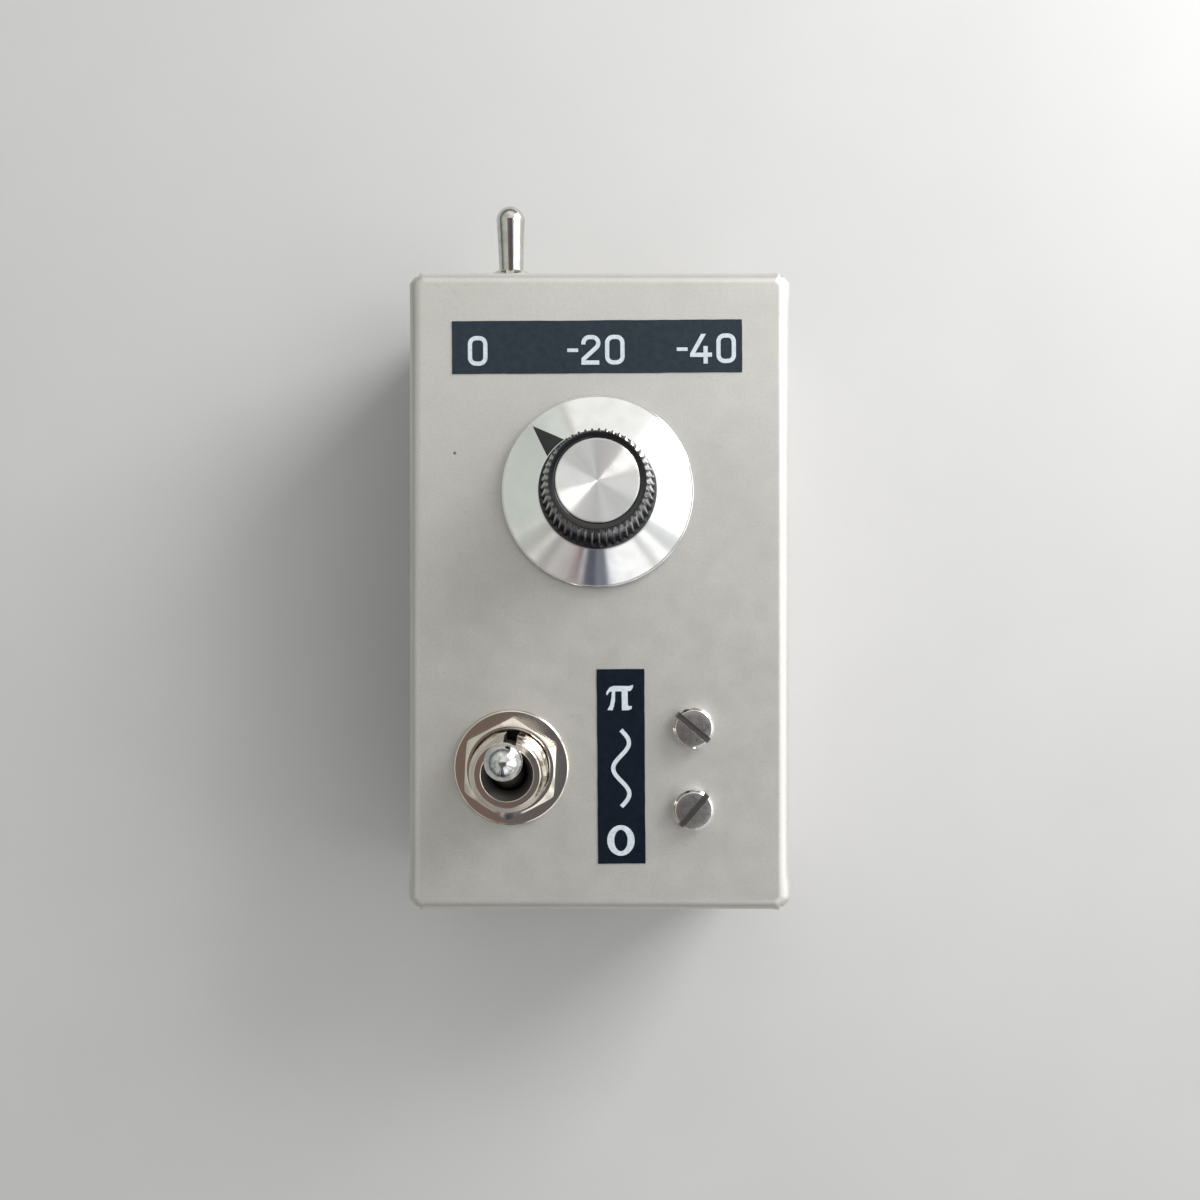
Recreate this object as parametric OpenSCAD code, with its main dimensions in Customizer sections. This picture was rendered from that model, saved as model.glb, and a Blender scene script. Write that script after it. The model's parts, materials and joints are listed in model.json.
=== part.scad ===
// Hand-held control box: a three-step selector on the face, a phase toggle beside
// it, a second toggle on the far end wall, and one plug socket in each end wall.
// Millimetres. The origin is the centre of the resting face, +Z goes up through
// the face panel and +Y points at the end wall that carries the second toggle.

/* [Case] */
// Width of the case, along X
case_w = 60.8; // [58:0.2:66]
// Length of the case, along Y
case_l = 101; // [98:0.5:110]
// Height of the case, from the base cover to the face
case_h = 38; // [38:1:44]
// Thickness of the sheet metal
sheet = 1.5; // [1.2:0.1:1.6]
// Bend radius at the outer edges
bend_r = 2.2; // [1.8:0.1:3]

/* [Face controls] */
// Selector axis, along X
selector_x = -0.3; // [-1:0.1:1]
// Selector axis, along Y
selector_y = 15.5; // [15:0.1:17]
// Direction of the pointer at rest, from +X towards +Y
pointer_angle = 135; // [130:1:140]
// Turn between two selector positions
selector_step = 45; // [30:1:45]
// Phase toggle axis, along X
phase_x = -13.8; // [-14:0.1:-13.5]
// Phase toggle axis, along Y
phase_y = -27.6; // [-28:0.1:-27]
// How far the phase toggle was turned as its nut was tightened
phase_turn = -5; // [-6:1:0]
// Lean of a toggle lever to each side of upright
lever_lean = 12; // [10:0.5:12]

/* [End walls] */
// End toggle axis, along X
end_x = -15.2; // [-16:0.1:-14]
// End toggle axis, above the resting face
end_z = 19; // [18:0.5:20]
// Input socket axis, along X
input_x = 2; // [1.8:0.1:2.2]
// Output socket axis, along X
output_x = 13.5; // [13.4:0.1:14]
// Socket axes, above the resting face
socket_z = 12.5; // [12.3:0.1:12.6]
// Radius of the plug bore in each socket
plug_r = 3.25; // [3.2:0.01:3.3]

/* [Knob] */
// Radius of the spun metal skirt
skirt_r = 15; // [14:0.5:16]
// Height of the knob's top above the face
knob_top = 16.5; // [15:0.5:17.5]
// Radius of the grip at its top
grip_r = 7.3; // [7.2:0.1:7.6]
// Radius of the metal disc in the knob's top
cap_r = 6.1; // [5.8:0.1:6.2]

/* [Labels] */
// Length and height of the scale label
scale_label_size = [45.6, 8.4]; // [8:0.1:46]
// Width and length of the phase label
phase_label_size = [7.6, 30.7]; // [7:0.1:31]
// Thickness of the label film
label_t = 0.15; // [0.1:0.05:0.3]

/* [Hidden] */
$fn = 64;

eps = 0.01;             // overlap that makes two cut or joined shapes meet cleanly
gap = 0.05;             // radial clearance of a pin, screw or shaft in its hole
cover_screw_x = case_w / 2 - 5.5;
cover_screw_y = case_l / 2 - 5.5;
cover_screw_r = 1.2;
cover_head_r = 2.35;
tab = 9.5;              // side of the square tab under each corner
selector_bush_r = 4.8;
selector_housing_r = 12.8;
selector_depth = 10;    // depth of the selector housing behind the panel
shaft_r = 3;
lug_ring_r = 10.2;
board_screw_x = 14.6;
board_screw_y = -27.7;
board_screw_pitch = 12.7;
board_screw_r = 1.65;
board_screw_head_r = 3.25;
spacer_l = 6;
board_t = 1.6;
board_size = [28, 25];
board_pos = [12, board_screw_y];
board_z = case_h - sheet - spacer_l - board_t;
nut_t = 2.4;
toroid_pos = [4.2, board_screw_y];
socket_side = 12.6;     // width of the square socket body
socket_depth = 28;      // depth of the socket body behind the wall
socket_bush_r = 4.7;
lug_offset = 4.2;       // socket contact blades, each side of the bore axis
socket_lug_end = 34;    // how far the blades' ends are behind the outer wall face

// The two toggles share their modules. Each row of figures, in the toggle's own
// frame with the wall's outer face at 0 and +Z outward, is:
// bushing radius, bushing top, pivot height, ball radius, mouth radius,
// neck radius, tip radius, tip end beyond the pivot, shank radius, body width,
// body length, body depth, pole offset (0 for one pole), inner reach,
// lever radius at the bushing's mouth.
PHASE = [5.9, 9.2, 4.0, 3.25, 3.9, 2.75, 2.75, 18.2, 1.7, 17.5, 27, 14, 4.8, 15.7, 1.8];
END = [3.95, 4.6, 0.9, 2.3, 3.05, 2.0, 2.45, 14.8, 1.15, 9, 14.5, 8.4, 0, 9.6, 2.1];
function bush_r(d) = d[0];
function bush_top(d) = d[1];
function pivot_h(d) = d[2];
function ball_r(d) = d[3];
function mouth_r(d) = d[4];
function neck_r(d) = d[5];
function tip_r(d) = d[6];
function tip_end(d) = d[7];
function shank_r(d) = d[8];
function body_w(d) = d[9];
function body_l(d) = d[10];
function body_d(d) = d[11];
function pole_x(d) = d[12];
function reach(d) = d[13];
function waist_r(d) = d[14];
function size_of(d) = bush_r(d) / bush_r(PHASE);   // thickness of small details
function flange_r(d) = min(bush_r(d) + 1.2 * size_of(d), body_w(d) / 2 - 0.3);

// ---------------------------------------------------------------- placing

module at_selector() translate([selector_x, selector_y, case_h]) children();
module at_phase()
    translate([phase_x, phase_y, case_h]) rotate(phase_turn) children();
module at_end()
    translate([end_x, case_l / 2, end_z]) rotate([90, 0, 180]) children();
module at_input()
    translate([input_x, -case_l / 2, socket_z]) rotate([90, 0, 0]) children();
module at_output()
    translate([output_x, case_l / 2, socket_z]) rotate([90, 0, 180]) children();
module at_board_screws()
    for (side = [-1, 1])
        translate([board_screw_x, board_screw_y + side * board_screw_pitch / 2, 0])
            children();
module at_cover_screws()
    for (x = [-1, 1], y = [-1, 1])
        translate([x * cover_screw_x, y * cover_screw_y, 0]) children();

// ---------------------------------------------------------------- shared shapes

// Points of an arc about centre c, from angle a to angle b.
function arc(c, r, a, b, n = 10) =
    [for (i = [0 : n]) c + r * [cos(a + (b - a) * i / n), sin(a + (b - a) * i / n)]];

module lathe(points) rotate_extrude() polygon(points);

module ring(r_out, r_in, z0, z1)
    translate([0, 0, z0]) difference() {
        cylinder(r = r_out, h = z1 - z0);
        translate([0, 0, -eps]) cylinder(r = r_in, h = z1 - z0 + 2 * eps);
    }

// A hexagon nut with both faces chamfered at its corners.
module hex_nut(across, r_in, z0, z1, turn = 30) {
    corner = across / sqrt(3);
    bevel = corner - across / 2 + 0.1;
    h = z1 - z0;
    translate([0, 0, z0]) difference() {
        intersection() {
            rotate(turn) cylinder(r = corner, h = h, $fn = 6);
            lathe([[0, 0], [corner - bevel, 0], [corner + eps, bevel * 0.6],
                   [corner + eps, h - bevel * 0.6], [corner - bevel, h], [0, h]]);
        }
        translate([0, 0, -eps]) cylinder(r = r_in, h = h + 2 * eps);
    }
}

module rounded_rect(w, l, r) {
    square([w - 2 * r, l], center = true);
    square([w, l - 2 * r], center = true);
    for (x = [-1, 1], y = [-1, 1])
        translate([x * (w / 2 - r), y * (l / 2 - r)]) circle(r);
}

// A bar's cross-section with its two top corners rounded.
module round_topped(w, h, r) {
    translate([-w / 2, 0]) square([w, h - r]);
    translate([-w / 2 + r, 0]) square([w - 2 * r, h]);
    for (x = [-1, 1]) translate([x * (w / 2 - r), h - r]) circle(r);
}

// A tube of n sides swept along a list of points.
function unit(v) = v / norm(v);
function tangent(p, i) =
    unit(p[min(i + 1, len(p) - 1)] - p[max(i - 1, 0)]);
function side_of(t) = unit(cross(t, abs(t[2]) < 0.9 ? [0, 0, 1] : [1, 0, 0]));
// The sideways direction at each point, carried along so the tube never twists.
function carried(p, i = 0, last = undef) =
    i == len(p) ? [] :
    let (t = tangent(p, i),
         s = is_undef(last) ? side_of(t) : unit(last - (last * t) * t))
    concat([s], carried(p, i + 1, s));
module tube(p, r, n = 8) {
    sides = carried(p);
    rings = [for (i = [0 : len(p) - 1], k = [0 : n - 1])
        let (s = sides[i], u = cross(tangent(p, i), s), a = 360 * k / n)
        p[i] + r * (cos(a) * s + sin(a) * u)];
    walls = [for (i = [0 : len(p) - 2], k = [0 : n - 1])
        let (a = i * n + k, b = i * n + (k + 1) % n)
        each [[a, a + n, b + n], [a, b + n, b]]];
    caps = [[for (k = [0 : n - 1]) k], [for (k = [n - 1 : -1 : 0]) (len(p) - 1) * n + k]];
    polyhedron(rings, concat(walls, caps));
}

// Points on one smooth curve through a few hand-chosen ones.
function spline_point(p, i, t) =
    let (a = p[max(i - 1, 0)], b = p[i], c = p[i + 1], d = p[min(i + 2, len(p) - 1)])
    0.5 * ((2 * b) + (c - a) * t + (2 * a - 5 * b + 4 * c - d) * t * t
           + (3 * b - a - 3 * c + d) * t * t * t);
function smooth(p, steps = 5) = concat(
    [for (i = [0 : len(p) - 2], k = [0 : steps - 1]) spline_point(p, i, k / steps)],
    [p[len(p) - 1]]);

// A coil spring along Z from z0 to z1.
module coil(r, wire_r, z0, z1, turns, per_turn = 12)
    tube([for (i = [0 : turns * per_turn])
        let (a = 360 * i / per_turn)
        [r * cos(a), r * sin(a), z0 + (z1 - z0) * i / (turns * per_turn)]],
        wire_r, 6);

// ---------------------------------------------------------------- case

module case_form() {
    h = case_h - sheet;
    translate([0, 0, sheet]) intersection() {
        linear_extrude(h) rounded_rect(case_w, case_l, bend_r);
        translate([0, case_l / 2, 0]) rotate([90, 0, 0])
            linear_extrude(case_l) round_topped(case_w, h, bend_r);
        translate([-case_w / 2, 0, 0]) rotate([90, 0, 90])
            linear_extrude(case_w) round_topped(case_l, h, bend_r);
    }
}

module case_shell() color([0.76, 0.75, 0.71]) difference() {
    union() {
        difference() {
            case_form();
            translate([0, 0, -eps])
                linear_extrude(case_h - sheet + eps)
                    rounded_rect(case_w - 2 * sheet, case_l - 2 * sheet, bend_r - sheet);
        }
        // corner tabs, bent in from the side walls, that take the cover screws
        for (x = [-1, 1], y = [-1, 1])
            translate([x * (case_w / 2 - sheet / 2 - tab / 2),
                       y * (case_l / 2 - sheet / 2 - tab / 2), sheet * 1.5])
                cube([tab, tab, sheet], center = true);
    }
    at_selector() translate([0, 0, -3 * sheet])
        cylinder(r = selector_bush_r + gap, h = 4 * sheet);
    at_phase() translate([0, 0, -3 * sheet])
        cylinder(r = bush_r(PHASE) + gap, h = 4 * sheet);
    at_end() translate([0, 0, -2 * sheet])
        cylinder(r = bush_r(END) + gap, h = 3 * sheet);
    at_input() translate([0, 0, -2 * sheet])
        cylinder(r = socket_bush_r + gap, h = 3 * sheet);
    at_output() translate([0, 0, -2 * sheet])
        cylinder(r = socket_bush_r + gap, h = 3 * sheet);
    translate([0, 0, case_h - 2 * sheet]) at_board_screws()
        cylinder(r = board_screw_r + gap, h = 3 * sheet);
    at_cover_screws() cylinder(r = cover_screw_r + gap, h = 4 * sheet);
}

module base_cover() color([0.72, 0.71, 0.68]) difference() {
    linear_extrude(sheet) rounded_rect(case_w, case_l, bend_r);
    at_cover_screws() {
        translate([0, 0, -eps]) cylinder(r = cover_screw_r + gap, h = 2 * sheet);
        translate([0, 0, -eps])
            cylinder(r1 = cover_head_r + gap + eps, r2 = cover_screw_r + gap,
                     h = cover_head_r - cover_screw_r + eps);
    }
}

// Countersunk screws with a straight slot.
module cover_screws() color([0.62, 0.62, 0.63]) at_cover_screws() difference() {
    lathe([[0, 0], [cover_head_r, 0], [cover_screw_r, cover_head_r - cover_screw_r],
           [cover_screw_r, 5.6], [cover_screw_r - 0.4, 6], [0, 6]]);
    translate([-cover_head_r - 1, -0.35, -1]) cube([2 * cover_head_r + 2, 0.7, 1.7]);
}

module scale_label() color([0.13, 0.16, 0.19])
    translate([-0.4, 38.3, case_h + label_t / 2]) rotate(0.4)
        cube([scale_label_size[0], scale_label_size[1], label_t], center = true);

module phase_label() color([0.06, 0.08, 0.12])
    translate([3.4, -27.5, case_h + label_t / 2]) rotate(0.4)
        cube([phase_label_size[0], phase_label_size[1], label_t], center = true);

// ---------------------------------------------------------------- selector

wafer_t = 2.4;
cavity_r = 11.4;        // inside of the selector housing
ceiling = 2;            // thickness of the selector housing's front
carrier_r = 9.8;        // detent carrier
ball_detent_r = 1.2;
stop_r = [6.2, 8.4];    // inner and outer radius of the stop lug and posts
stop_spread = 20;       // angle that each stop post covers
lug_spread = 16;        // angle that the rotor's stop lug covers
stop_turn = (stop_spread + lug_spread) / 2 + 0.3;
housing_back = -sheet - selector_depth;
rotor_z = [housing_back + 0.7, housing_back + 2.7];
carrier_z = [housing_back + 3.5, housing_back + 7];
ball_z = (carrier_z[0] + carrier_z[1]) / 2;
ball_at = 10;           // distance of a detent ball from the shaft's axis

// One sector of a ring, centred on angle a.
module sector(r, a, spread, z0, z1)
    rotate(a - spread / 2) translate([0, 0, z0])
        rotate_extrude(angle = spread) translate([r[0], 0])
            square([r[1] - r[0], z1 - z0]);

module selector_housing() color([0.16, 0.16, 0.17]) at_selector() {
    difference() {
        union() {
            translate([0, 0, housing_back])
                cylinder(r = selector_housing_r, h = selector_depth);
            translate([0, 0, -sheet - eps])
                cylinder(r = selector_bush_r, h = sheet + 4.5);
        }
        translate([0, 0, housing_back - eps])
            cylinder(r = cavity_r, h = selector_depth - ceiling + eps);
        translate([0, 0, -20]) cylinder(r = shaft_r + gap, h = 30);
        // pockets that the detent balls click into, one for each position
        for (i = [0 : 7])
            rotate(pointer_angle + i * selector_step)
                translate([cavity_r + 0.2, 0, ball_z])
                    cylinder(r = 0.9, h = 2.2, center = true);
    }
    // posts that stop the rotor's lug at the first and the last position
    for (middle = [pointer_angle + stop_turn, pointer_angle - 2 * selector_step - stop_turn])
        sector(stop_r, middle, stop_spread, -sheet - ceiling - 0.7, -sheet - ceiling + eps);
}

module selector_lock_washer() color([0.75, 0.74, 0.7]) at_selector() difference() {
    ring(7, selector_bush_r + gap, 0, 0.5);
    for (i = [0 : 11])
        rotate(i * 30) translate([7, 0, 0.25]) rotate(40)
            cube([1.6, 0.5, 1], center = true);
}

module selector_nut() color([0.78, 0.76, 0.72]) at_selector()
    hex_nut(13, selector_bush_r + gap, 0.5, 2.5);

module lug_places() {
    for (i = [0 : 11]) rotate(i * 30 + 15) translate([lug_ring_r, 0, 0]) children();
    for (i = [0 : 3]) rotate(i * 90 + 15) translate([5.4, 0, 0]) children();
}

module selector_wafer() color([0.45, 0.33, 0.2]) at_selector() difference() {
    translate([0, 0, housing_back - wafer_t])
        cylinder(r = selector_housing_r, h = wafer_t);
    translate([0, 0, housing_back - wafer_t - 1]) cylinder(r = 2, h = wafer_t + 2);
    lug_places() translate([0, 0, housing_back - wafer_t / 2])
        cube([0.6, 1.8, wafer_t + 1], center = true);
}

module selector_lugs() color([0.8, 0.78, 0.72]) at_selector() lug_places()
    difference() {
        translate([-0.3, -0.9, housing_back - wafer_t - 5])
            cube([0.6, 1.8, wafer_t + 5]);
        translate([0, 0, housing_back - wafer_t - 3.8]) rotate([0, 90, 0])
            cylinder(r = 0.5, h = 3, center = true);
    }

module selector_shaft() color([0.8, 0.78, 0.73]) at_selector() difference() {
    union() {
        translate([0, 0, housing_back + 0.7])
            cylinder(r = shaft_r, h = knob_top - 2.2 - housing_back - 0.7);
        translate([0, 0, housing_back - 2]) cylinder(r = 1.9, h = 4);
    }
    // flat that the knob's set screw bears on
    rotate(pointer_angle) translate([2.5, -shaft_r, 5.5]) cube([3, 2 * shaft_r, 10]);
}

module selector_rotor() color([0.85, 0.84, 0.8]) at_selector() difference() {
    union() {
        translate([0, 0, rotor_z[0]]) cylinder(r = 10.6, h = rotor_z[1] - rotor_z[0]);
        translate([0, 0, rotor_z[0]]) cylinder(r = 6, h = carrier_z[1] - rotor_z[0]);
        translate([0, 0, carrier_z[0]]) cylinder(r = carrier_r, h = carrier_z[1] - carrier_z[0]);
        sector(stop_r, pointer_angle, lug_spread, carrier_z[1] - eps, carrier_z[1] + 0.8);
    }
    translate([0, 0, -20]) cylinder(r = shaft_r, h = 30);
    for (side = [0, 180])
        rotate(pointer_angle + side) translate([4, 0, ball_z]) rotate([0, 90, 0])
            cylinder(r = ball_detent_r + 0.1, h = carrier_r);
}

module selector_wipers() color([0.83, 0.66, 0.3]) at_selector()
    for (i = [0 : 3])
        rotate(pointer_angle + 22.5 + i * 90) translate([7.8, 0, rotor_z[0] - 0.2]) {
            cube([6.4, 2, 0.4], center = true);
            translate([2.4, 0, -0.1]) cylinder(r = 0.7, h = 0.5, center = true);
        }

module detent_balls() color([0.8, 0.8, 0.82]) at_selector()
    for (side = [0, 180])
        rotate(pointer_angle + side) translate([ball_at, 0, ball_z]) sphere(ball_detent_r);

module detent_springs() color([0.7, 0.7, 0.72]) at_selector()
    for (side = [0, 180])
        rotate(pointer_angle + side) translate([0, 0, ball_z]) rotate([0, 90, 0])
            coil(0.85, 0.17, 4.2, ball_at - ball_detent_r - 0.1, 5);

// ---------------------------------------------------------------- knob

grip_base = 4.2;        // height of the flange's top above the face
knob_flange_r = 9.15;
grip_base_r = 8.8;
insert_r = 5.2;
skirt_bore_r = 6.9;     // room for the nut under the knob
knob_recess_top = 5.3;
cap_t = 0.7;
skirt_top = 3.6;
insert_top = knob_top - cap_t - 0.7;
set_screw_z = 9;

module knob_body() color([0.06, 0.06, 0.07]) at_selector() difference() {
    lathe([[0, skirt_top], [knob_flange_r - 0.15, skirt_top], [knob_flange_r, skirt_top + 0.15],
           [knob_flange_r, grip_base - 0.15], [knob_flange_r - 0.15, grip_base],
           [grip_base_r, grip_base], [grip_r + 0.3, knob_top - 1.1],
           [grip_r - 0.3, knob_top], [0, knob_top]]);
    translate([0, 0, skirt_top - 1]) cylinder(r = skirt_bore_r, h = knob_recess_top - skirt_top + 1);
    translate([0, 0, skirt_top]) cylinder(r = insert_r, h = insert_top - skirt_top);
    translate([0, 0, knob_top - cap_t]) cylinder(r = cap_r, h = 2);
    rotate(pointer_angle) translate([4, 0, set_screw_z]) rotate([0, 90, 0])
        cylinder(r = 1.7, h = 6);
}

module knob_skirt() color([0.86, 0.86, 0.85]) at_selector()
    lathe([[skirt_bore_r, 3.05], [9.1, 3.05], [14.1, 1.15], [14.35, 0.5], [skirt_r, 0.5],
           [skirt_r, 1.35], [skirt_r - 0.15, 1.5], [knob_flange_r + 0.15, skirt_top - 0.05],
           [knob_flange_r, skirt_top], [skirt_bore_r, skirt_top]]);

module knob_cap() color([0.84, 0.83, 0.82]) at_selector()
    lathe([[0, knob_top - cap_t], [cap_r, knob_top - cap_t], [cap_r, knob_top - 0.1],
           [cap_r - 0.2, knob_top + 0.08], [0, knob_top + 0.08]]);

module knob_insert() color([0.78, 0.62, 0.3]) at_selector() difference() {
    translate([0, 0, knob_recess_top])
            cylinder(r = insert_r, h = insert_top - knob_recess_top);
    translate([0, 0, skirt_top]) cylinder(r = shaft_r + gap, h = knob_top - 2 - skirt_top);
    rotate(pointer_angle) translate([2, 0, set_screw_z]) rotate([0, 90, 0])
        cylinder(r = 1.5 + gap, h = 6);
}

module knob_set_screw() color([0.35, 0.35, 0.37]) at_selector()
    rotate(pointer_angle) translate([2.52, 0, set_screw_z]) rotate([0, 90, 0]) difference() {
        cylinder(r = 1.5, h = 4.4);
        translate([0, 0, 3.4]) cylinder(r = 0.85, h = 2, $fn = 6);
    }

// ---------------------------------------------------------------- toggles
// In the toggle's own frame the lever leans towards +Y at rest.

plate_t = 1.2;
lock_t = 0.8;
frame_top = -sheet - lock_t;

module toggle_bushing(d) {
    r = bush_r(d);
    p = pivot_h(d);
    top = bush_top(d);
    seat = ball_r(d) + 0.15;
    neck_rise = sqrt(seat * seat - neck_r(d) * neck_r(d));
    foot = frame_top - plate_t;
    flare = seat + (p - foot) * tan(lever_lean) * 0.65;
    s = size_of(d);
    flange = flange_r(d);
    color([0.8, 0.77, 0.7]) difference() {
        rotate_extrude() polygon(concat(
            [[flare, foot - s], [flange, foot - s], [flange, foot], [r, foot],
             [r, top - 1.5 * s], [r - 0.2 * s, top - 1.3 * s],
             [r - 1 * s, top - 0.1 * s], [r - 1.15 * s, top], [mouth_r(d), top],
             [neck_r(d), p + neck_rise]],
            arc([0, p], seat, atan2(neck_rise, neck_r(d)), 0, 6),
            [[seat, p - 1]]));
        // keyway down the +Y side
        translate([-0.95 * s, r - 1.3 * s, -sheet]) cube([1.9 * s, 3, top + 5]);
        translate([-r + 0.8 * s, 0, p]) rotate([0, 90, 0])
            cylinder(r = 0.7 * s, h = 2 * r - 1.6 * s);
    }
}

module toggle_pin(d) color([0.7, 0.7, 0.72])
    translate([-bush_r(d) + 0.8 * size_of(d), 0, pivot_h(d)]) rotate([0, 90, 0])
        cylinder(r = 0.7 * size_of(d), h = 2 * (bush_r(d) - 0.8 * size_of(d)));

module toggle_flat_washer(d, r_out) color([0.8, 0.78, 0.74])
    ring(r_out, bush_r(d) + gap, 0, 0.8 * size_of(d));

module toggle_nut(d, across, turn) color([0.82, 0.79, 0.73])
    hex_nut(across, bush_r(d) + gap, 0.8 * size_of(d), 3 * size_of(d), turn);

module toggle_lock_washer(d) color([0.68, 0.67, 0.64]) difference() {
    ring(bush_r(d) + 2.4 * size_of(d), bush_r(d) + gap, frame_top, -sheet);
    for (i = [0 : 9])
        rotate(i * 36 + 18) translate([bush_r(d) + 2.4 * size_of(d), 0, frame_top + 0.4])
            rotate(35) cube([2 * size_of(d), 0.7 * size_of(d), 2], center = true);
}

module toggle_frame(d) color([0.74, 0.73, 0.7]) {
    w = body_w(d);
    l = body_l(d);
    strap = 0.5;
    difference() {
        union() {
            translate([-w / 2, -l / 2 - strap, frame_top - plate_t])
                cube([w, l + 2 * strap, plate_t]);
            for (side = [-1, 1])
                translate([-w * 0.3, side * (l + strap) / 2 - strap / 2, frame_top - body_d(d)])
                    cube([w * 0.6, strap, body_d(d)]);
        }
        translate([0, 0, frame_top - 2 * plate_t])
            cylinder(r = bush_r(d), h = 3 * plate_t);
    }
}

// Heights inside the switch, below the frame's plate.
function case_top(d) = frame_top - plate_t;
function case_floor(d) = case_top(d) - body_d(d);
function rocker_h(d) = pivot_h(d) - reach(d) - 0.55;
function poles(d) = pole_x(d) == 0 ? [0] : [-pole_x(d), pole_x(d)];
function throw_y(d) = body_l(d) * 0.35;

module toggle_body(d) color([0.32, 0.12, 0.09]) {
    wall = 1.5 * size_of(d);
    difference() {
        translate([-body_w(d) / 2, -body_l(d) / 2, case_floor(d)])
            cube([body_w(d), body_l(d), body_d(d)]);
        translate([-body_w(d) / 2 + wall, -body_l(d) / 2 + wall, case_floor(d) + wall])
            cube([body_w(d) - 2 * wall, body_l(d) - 2 * wall, body_d(d)]);
        translate([0, 0, case_top(d) - size_of(d)])
            cylinder(r = flange_r(d), h = 2);
        toggle_terminal_places(d) translate([0, 0, case_floor(d)])
            cube([2.6, 0.8, 4 * wall] * max(size_of(d), 0.75), center = true);
    }
}

module toggle_terminal_places(d)
    for (x = poles(d), y = [-1, 0, 1])
        translate([x, y * throw_y(d), 0]) children();

module toggle_terminals(d) color([0.82, 0.79, 0.72])
    for (x = poles(d), y = [-1, 0, 1]) {
        s = max(size_of(d), 0.75);
        low = case_floor(d) - 6 * s;
        high = rocker_h(d) - (y == 0 ? 0.42 : 0.15);
        translate([x, y * throw_y(d), 0]) difference() {
            translate([-1.3 * s, -0.4 * s, low]) cube([2.6 * s, 0.8 * s, high - low]);
            translate([0, 0, low + 1.8 * s]) rotate([90, 0, 0])
                cylinder(r = 0.7 * s, h = 3, center = true);
        }
    }

module toggle_lever(d) {
    p = pivot_h(d);
    b = ball_r(d);
    t = tip_r(d);
    s = shank_r(d);
    stem = s * 0.88;
    end = tip_end(d);
    rise = sqrt(b * b - s * s);
    fall = sqrt(b * b - stem * stem);
    tail = reach(d) - 4.2 * size_of(d);
    color([0.82, 0.82, 0.83]) translate([0, 0, p]) rotate([-lever_lean, 0, 0]) difference() {
        rotate_extrude() polygon(concat(
            [[0, -tail], [stem, -tail], [stem, -fall]],
            arc([0, 0], b, atan2(-fall, stem), atan2(rise, s), 14),
            [[waist_r(d), bush_top(d) - p]],
            arc([0, end - t], t, -8, 90, 12)));
        rotate([0, 90, 0]) cylinder(r = 0.7 * size_of(d) + gap, h = 4 * b, center = true);
        translate([0, 0, -tail - eps])
            cylinder(r = stem * 0.66, h = tail - b - 0.3);
    }
}

module toggle_plunger(d) {
    tail = reach(d) - 4.2 * size_of(d);
    nib = 0.9 * size_of(d);
    bar = 2 * pole_x(d) + 2.4 * nib;
    color([0.88, 0.86, 0.8]) translate([0, 0, pivot_h(d)]) rotate([-lever_lean, 0, 0]) {
        translate([0, 0, -reach(d) + nib])
            cylinder(r = shank_r(d) * 0.88 * 0.66 - gap, h = reach(d) - tail + 1.4);
        translate([-bar / 2, -nib, -reach(d) + nib])
            cube([bar, 2 * nib, reach(d) - tail - nib - 0.2]);
        for (x = poles(d)) translate([x, 0, -reach(d) + nib]) sphere(nib);
    }
}

module toggle_plunger_spring(d) {
    tail = reach(d) - 4.2 * size_of(d);
    r = shank_r(d) * 0.88 * 0.66;
    wire = 0.14 * size_of(d) + 0.02;
    color([0.7, 0.7, 0.72]) translate([0, 0, pivot_h(d)]) rotate([-lever_lean, 0, 0])
        coil(r - wire - gap, wire, -tail + nibless(d), -ball_r(d) - 0.4 - wire, 6);
}
function nibless(d) = 1.5 + 0.9 * size_of(d) + 0.14;

// See-saw contacts: each arm rises from the middle, and the end under the
// plunger is the one that is down.
rocker_rise = 10;
rocker_tilt = lever_lean * 2 / 3;
module toggle_rockers(d) color([0.84, 0.7, 0.35]) {
    arm = throw_y(d) + 0.6 * size_of(d);
    t = 0.5;
    w = 2.4 * size_of(d);
    for (x = poles(d))
        translate([x, 0, rocker_h(d)]) rotate([rocker_tilt, 0, 0]) {
            for (side = [0, 180])
                rotate(side) rotate([rocker_rise, 0, 0])
                    translate([-w / 2, 0, -t / 2]) cube([w, arm, t]);
            rotate([0, 90, 0]) cylinder(r = t / 2, h = w, center = true);
        }
}

// ---------------------------------------------------------------- sockets

module socket_bushing() color([0.8, 0.78, 0.74]) difference() {
    lathe([[plug_r, -5.5], [socket_bush_r + 1, -5.5], [socket_bush_r + 1, -sheet],
           [socket_bush_r, -sheet], [socket_bush_r, 2.9], [socket_bush_r - 0.3, 3.2],
           [plug_r + 0.45, 3.2], [plug_r, 2.75]]);
}

module socket_body() color([0.09, 0.09, 0.1]) difference() {
    translate([-socket_side / 2, -socket_side / 2, -sheet - socket_depth])
        cube([socket_side, socket_side, socket_depth]);
    translate([0, 0, -5.5]) cylinder(r = socket_bush_r + 1, h = 6);
    translate([0, 0, -sheet - socket_depth + 1.4])
        cylinder(r = 5, h = socket_depth);
    for (side = [-1, 1])
        translate([side * lug_offset, 0, -sheet - socket_depth])
            cube([0.5, 2.2, 6], center = true);
}

module at_sockets() {
    at_input() children();
    at_output() children();
}

module socket_washers() color([0.8, 0.78, 0.74]) at_sockets()
    ring(7, socket_bush_r + gap, 0, 0.7);

module socket_nuts() color([0.8, 0.78, 0.74]) at_sockets()
    hex_nut(12.7, socket_bush_r + gap, 0.7, 2.7);

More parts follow.
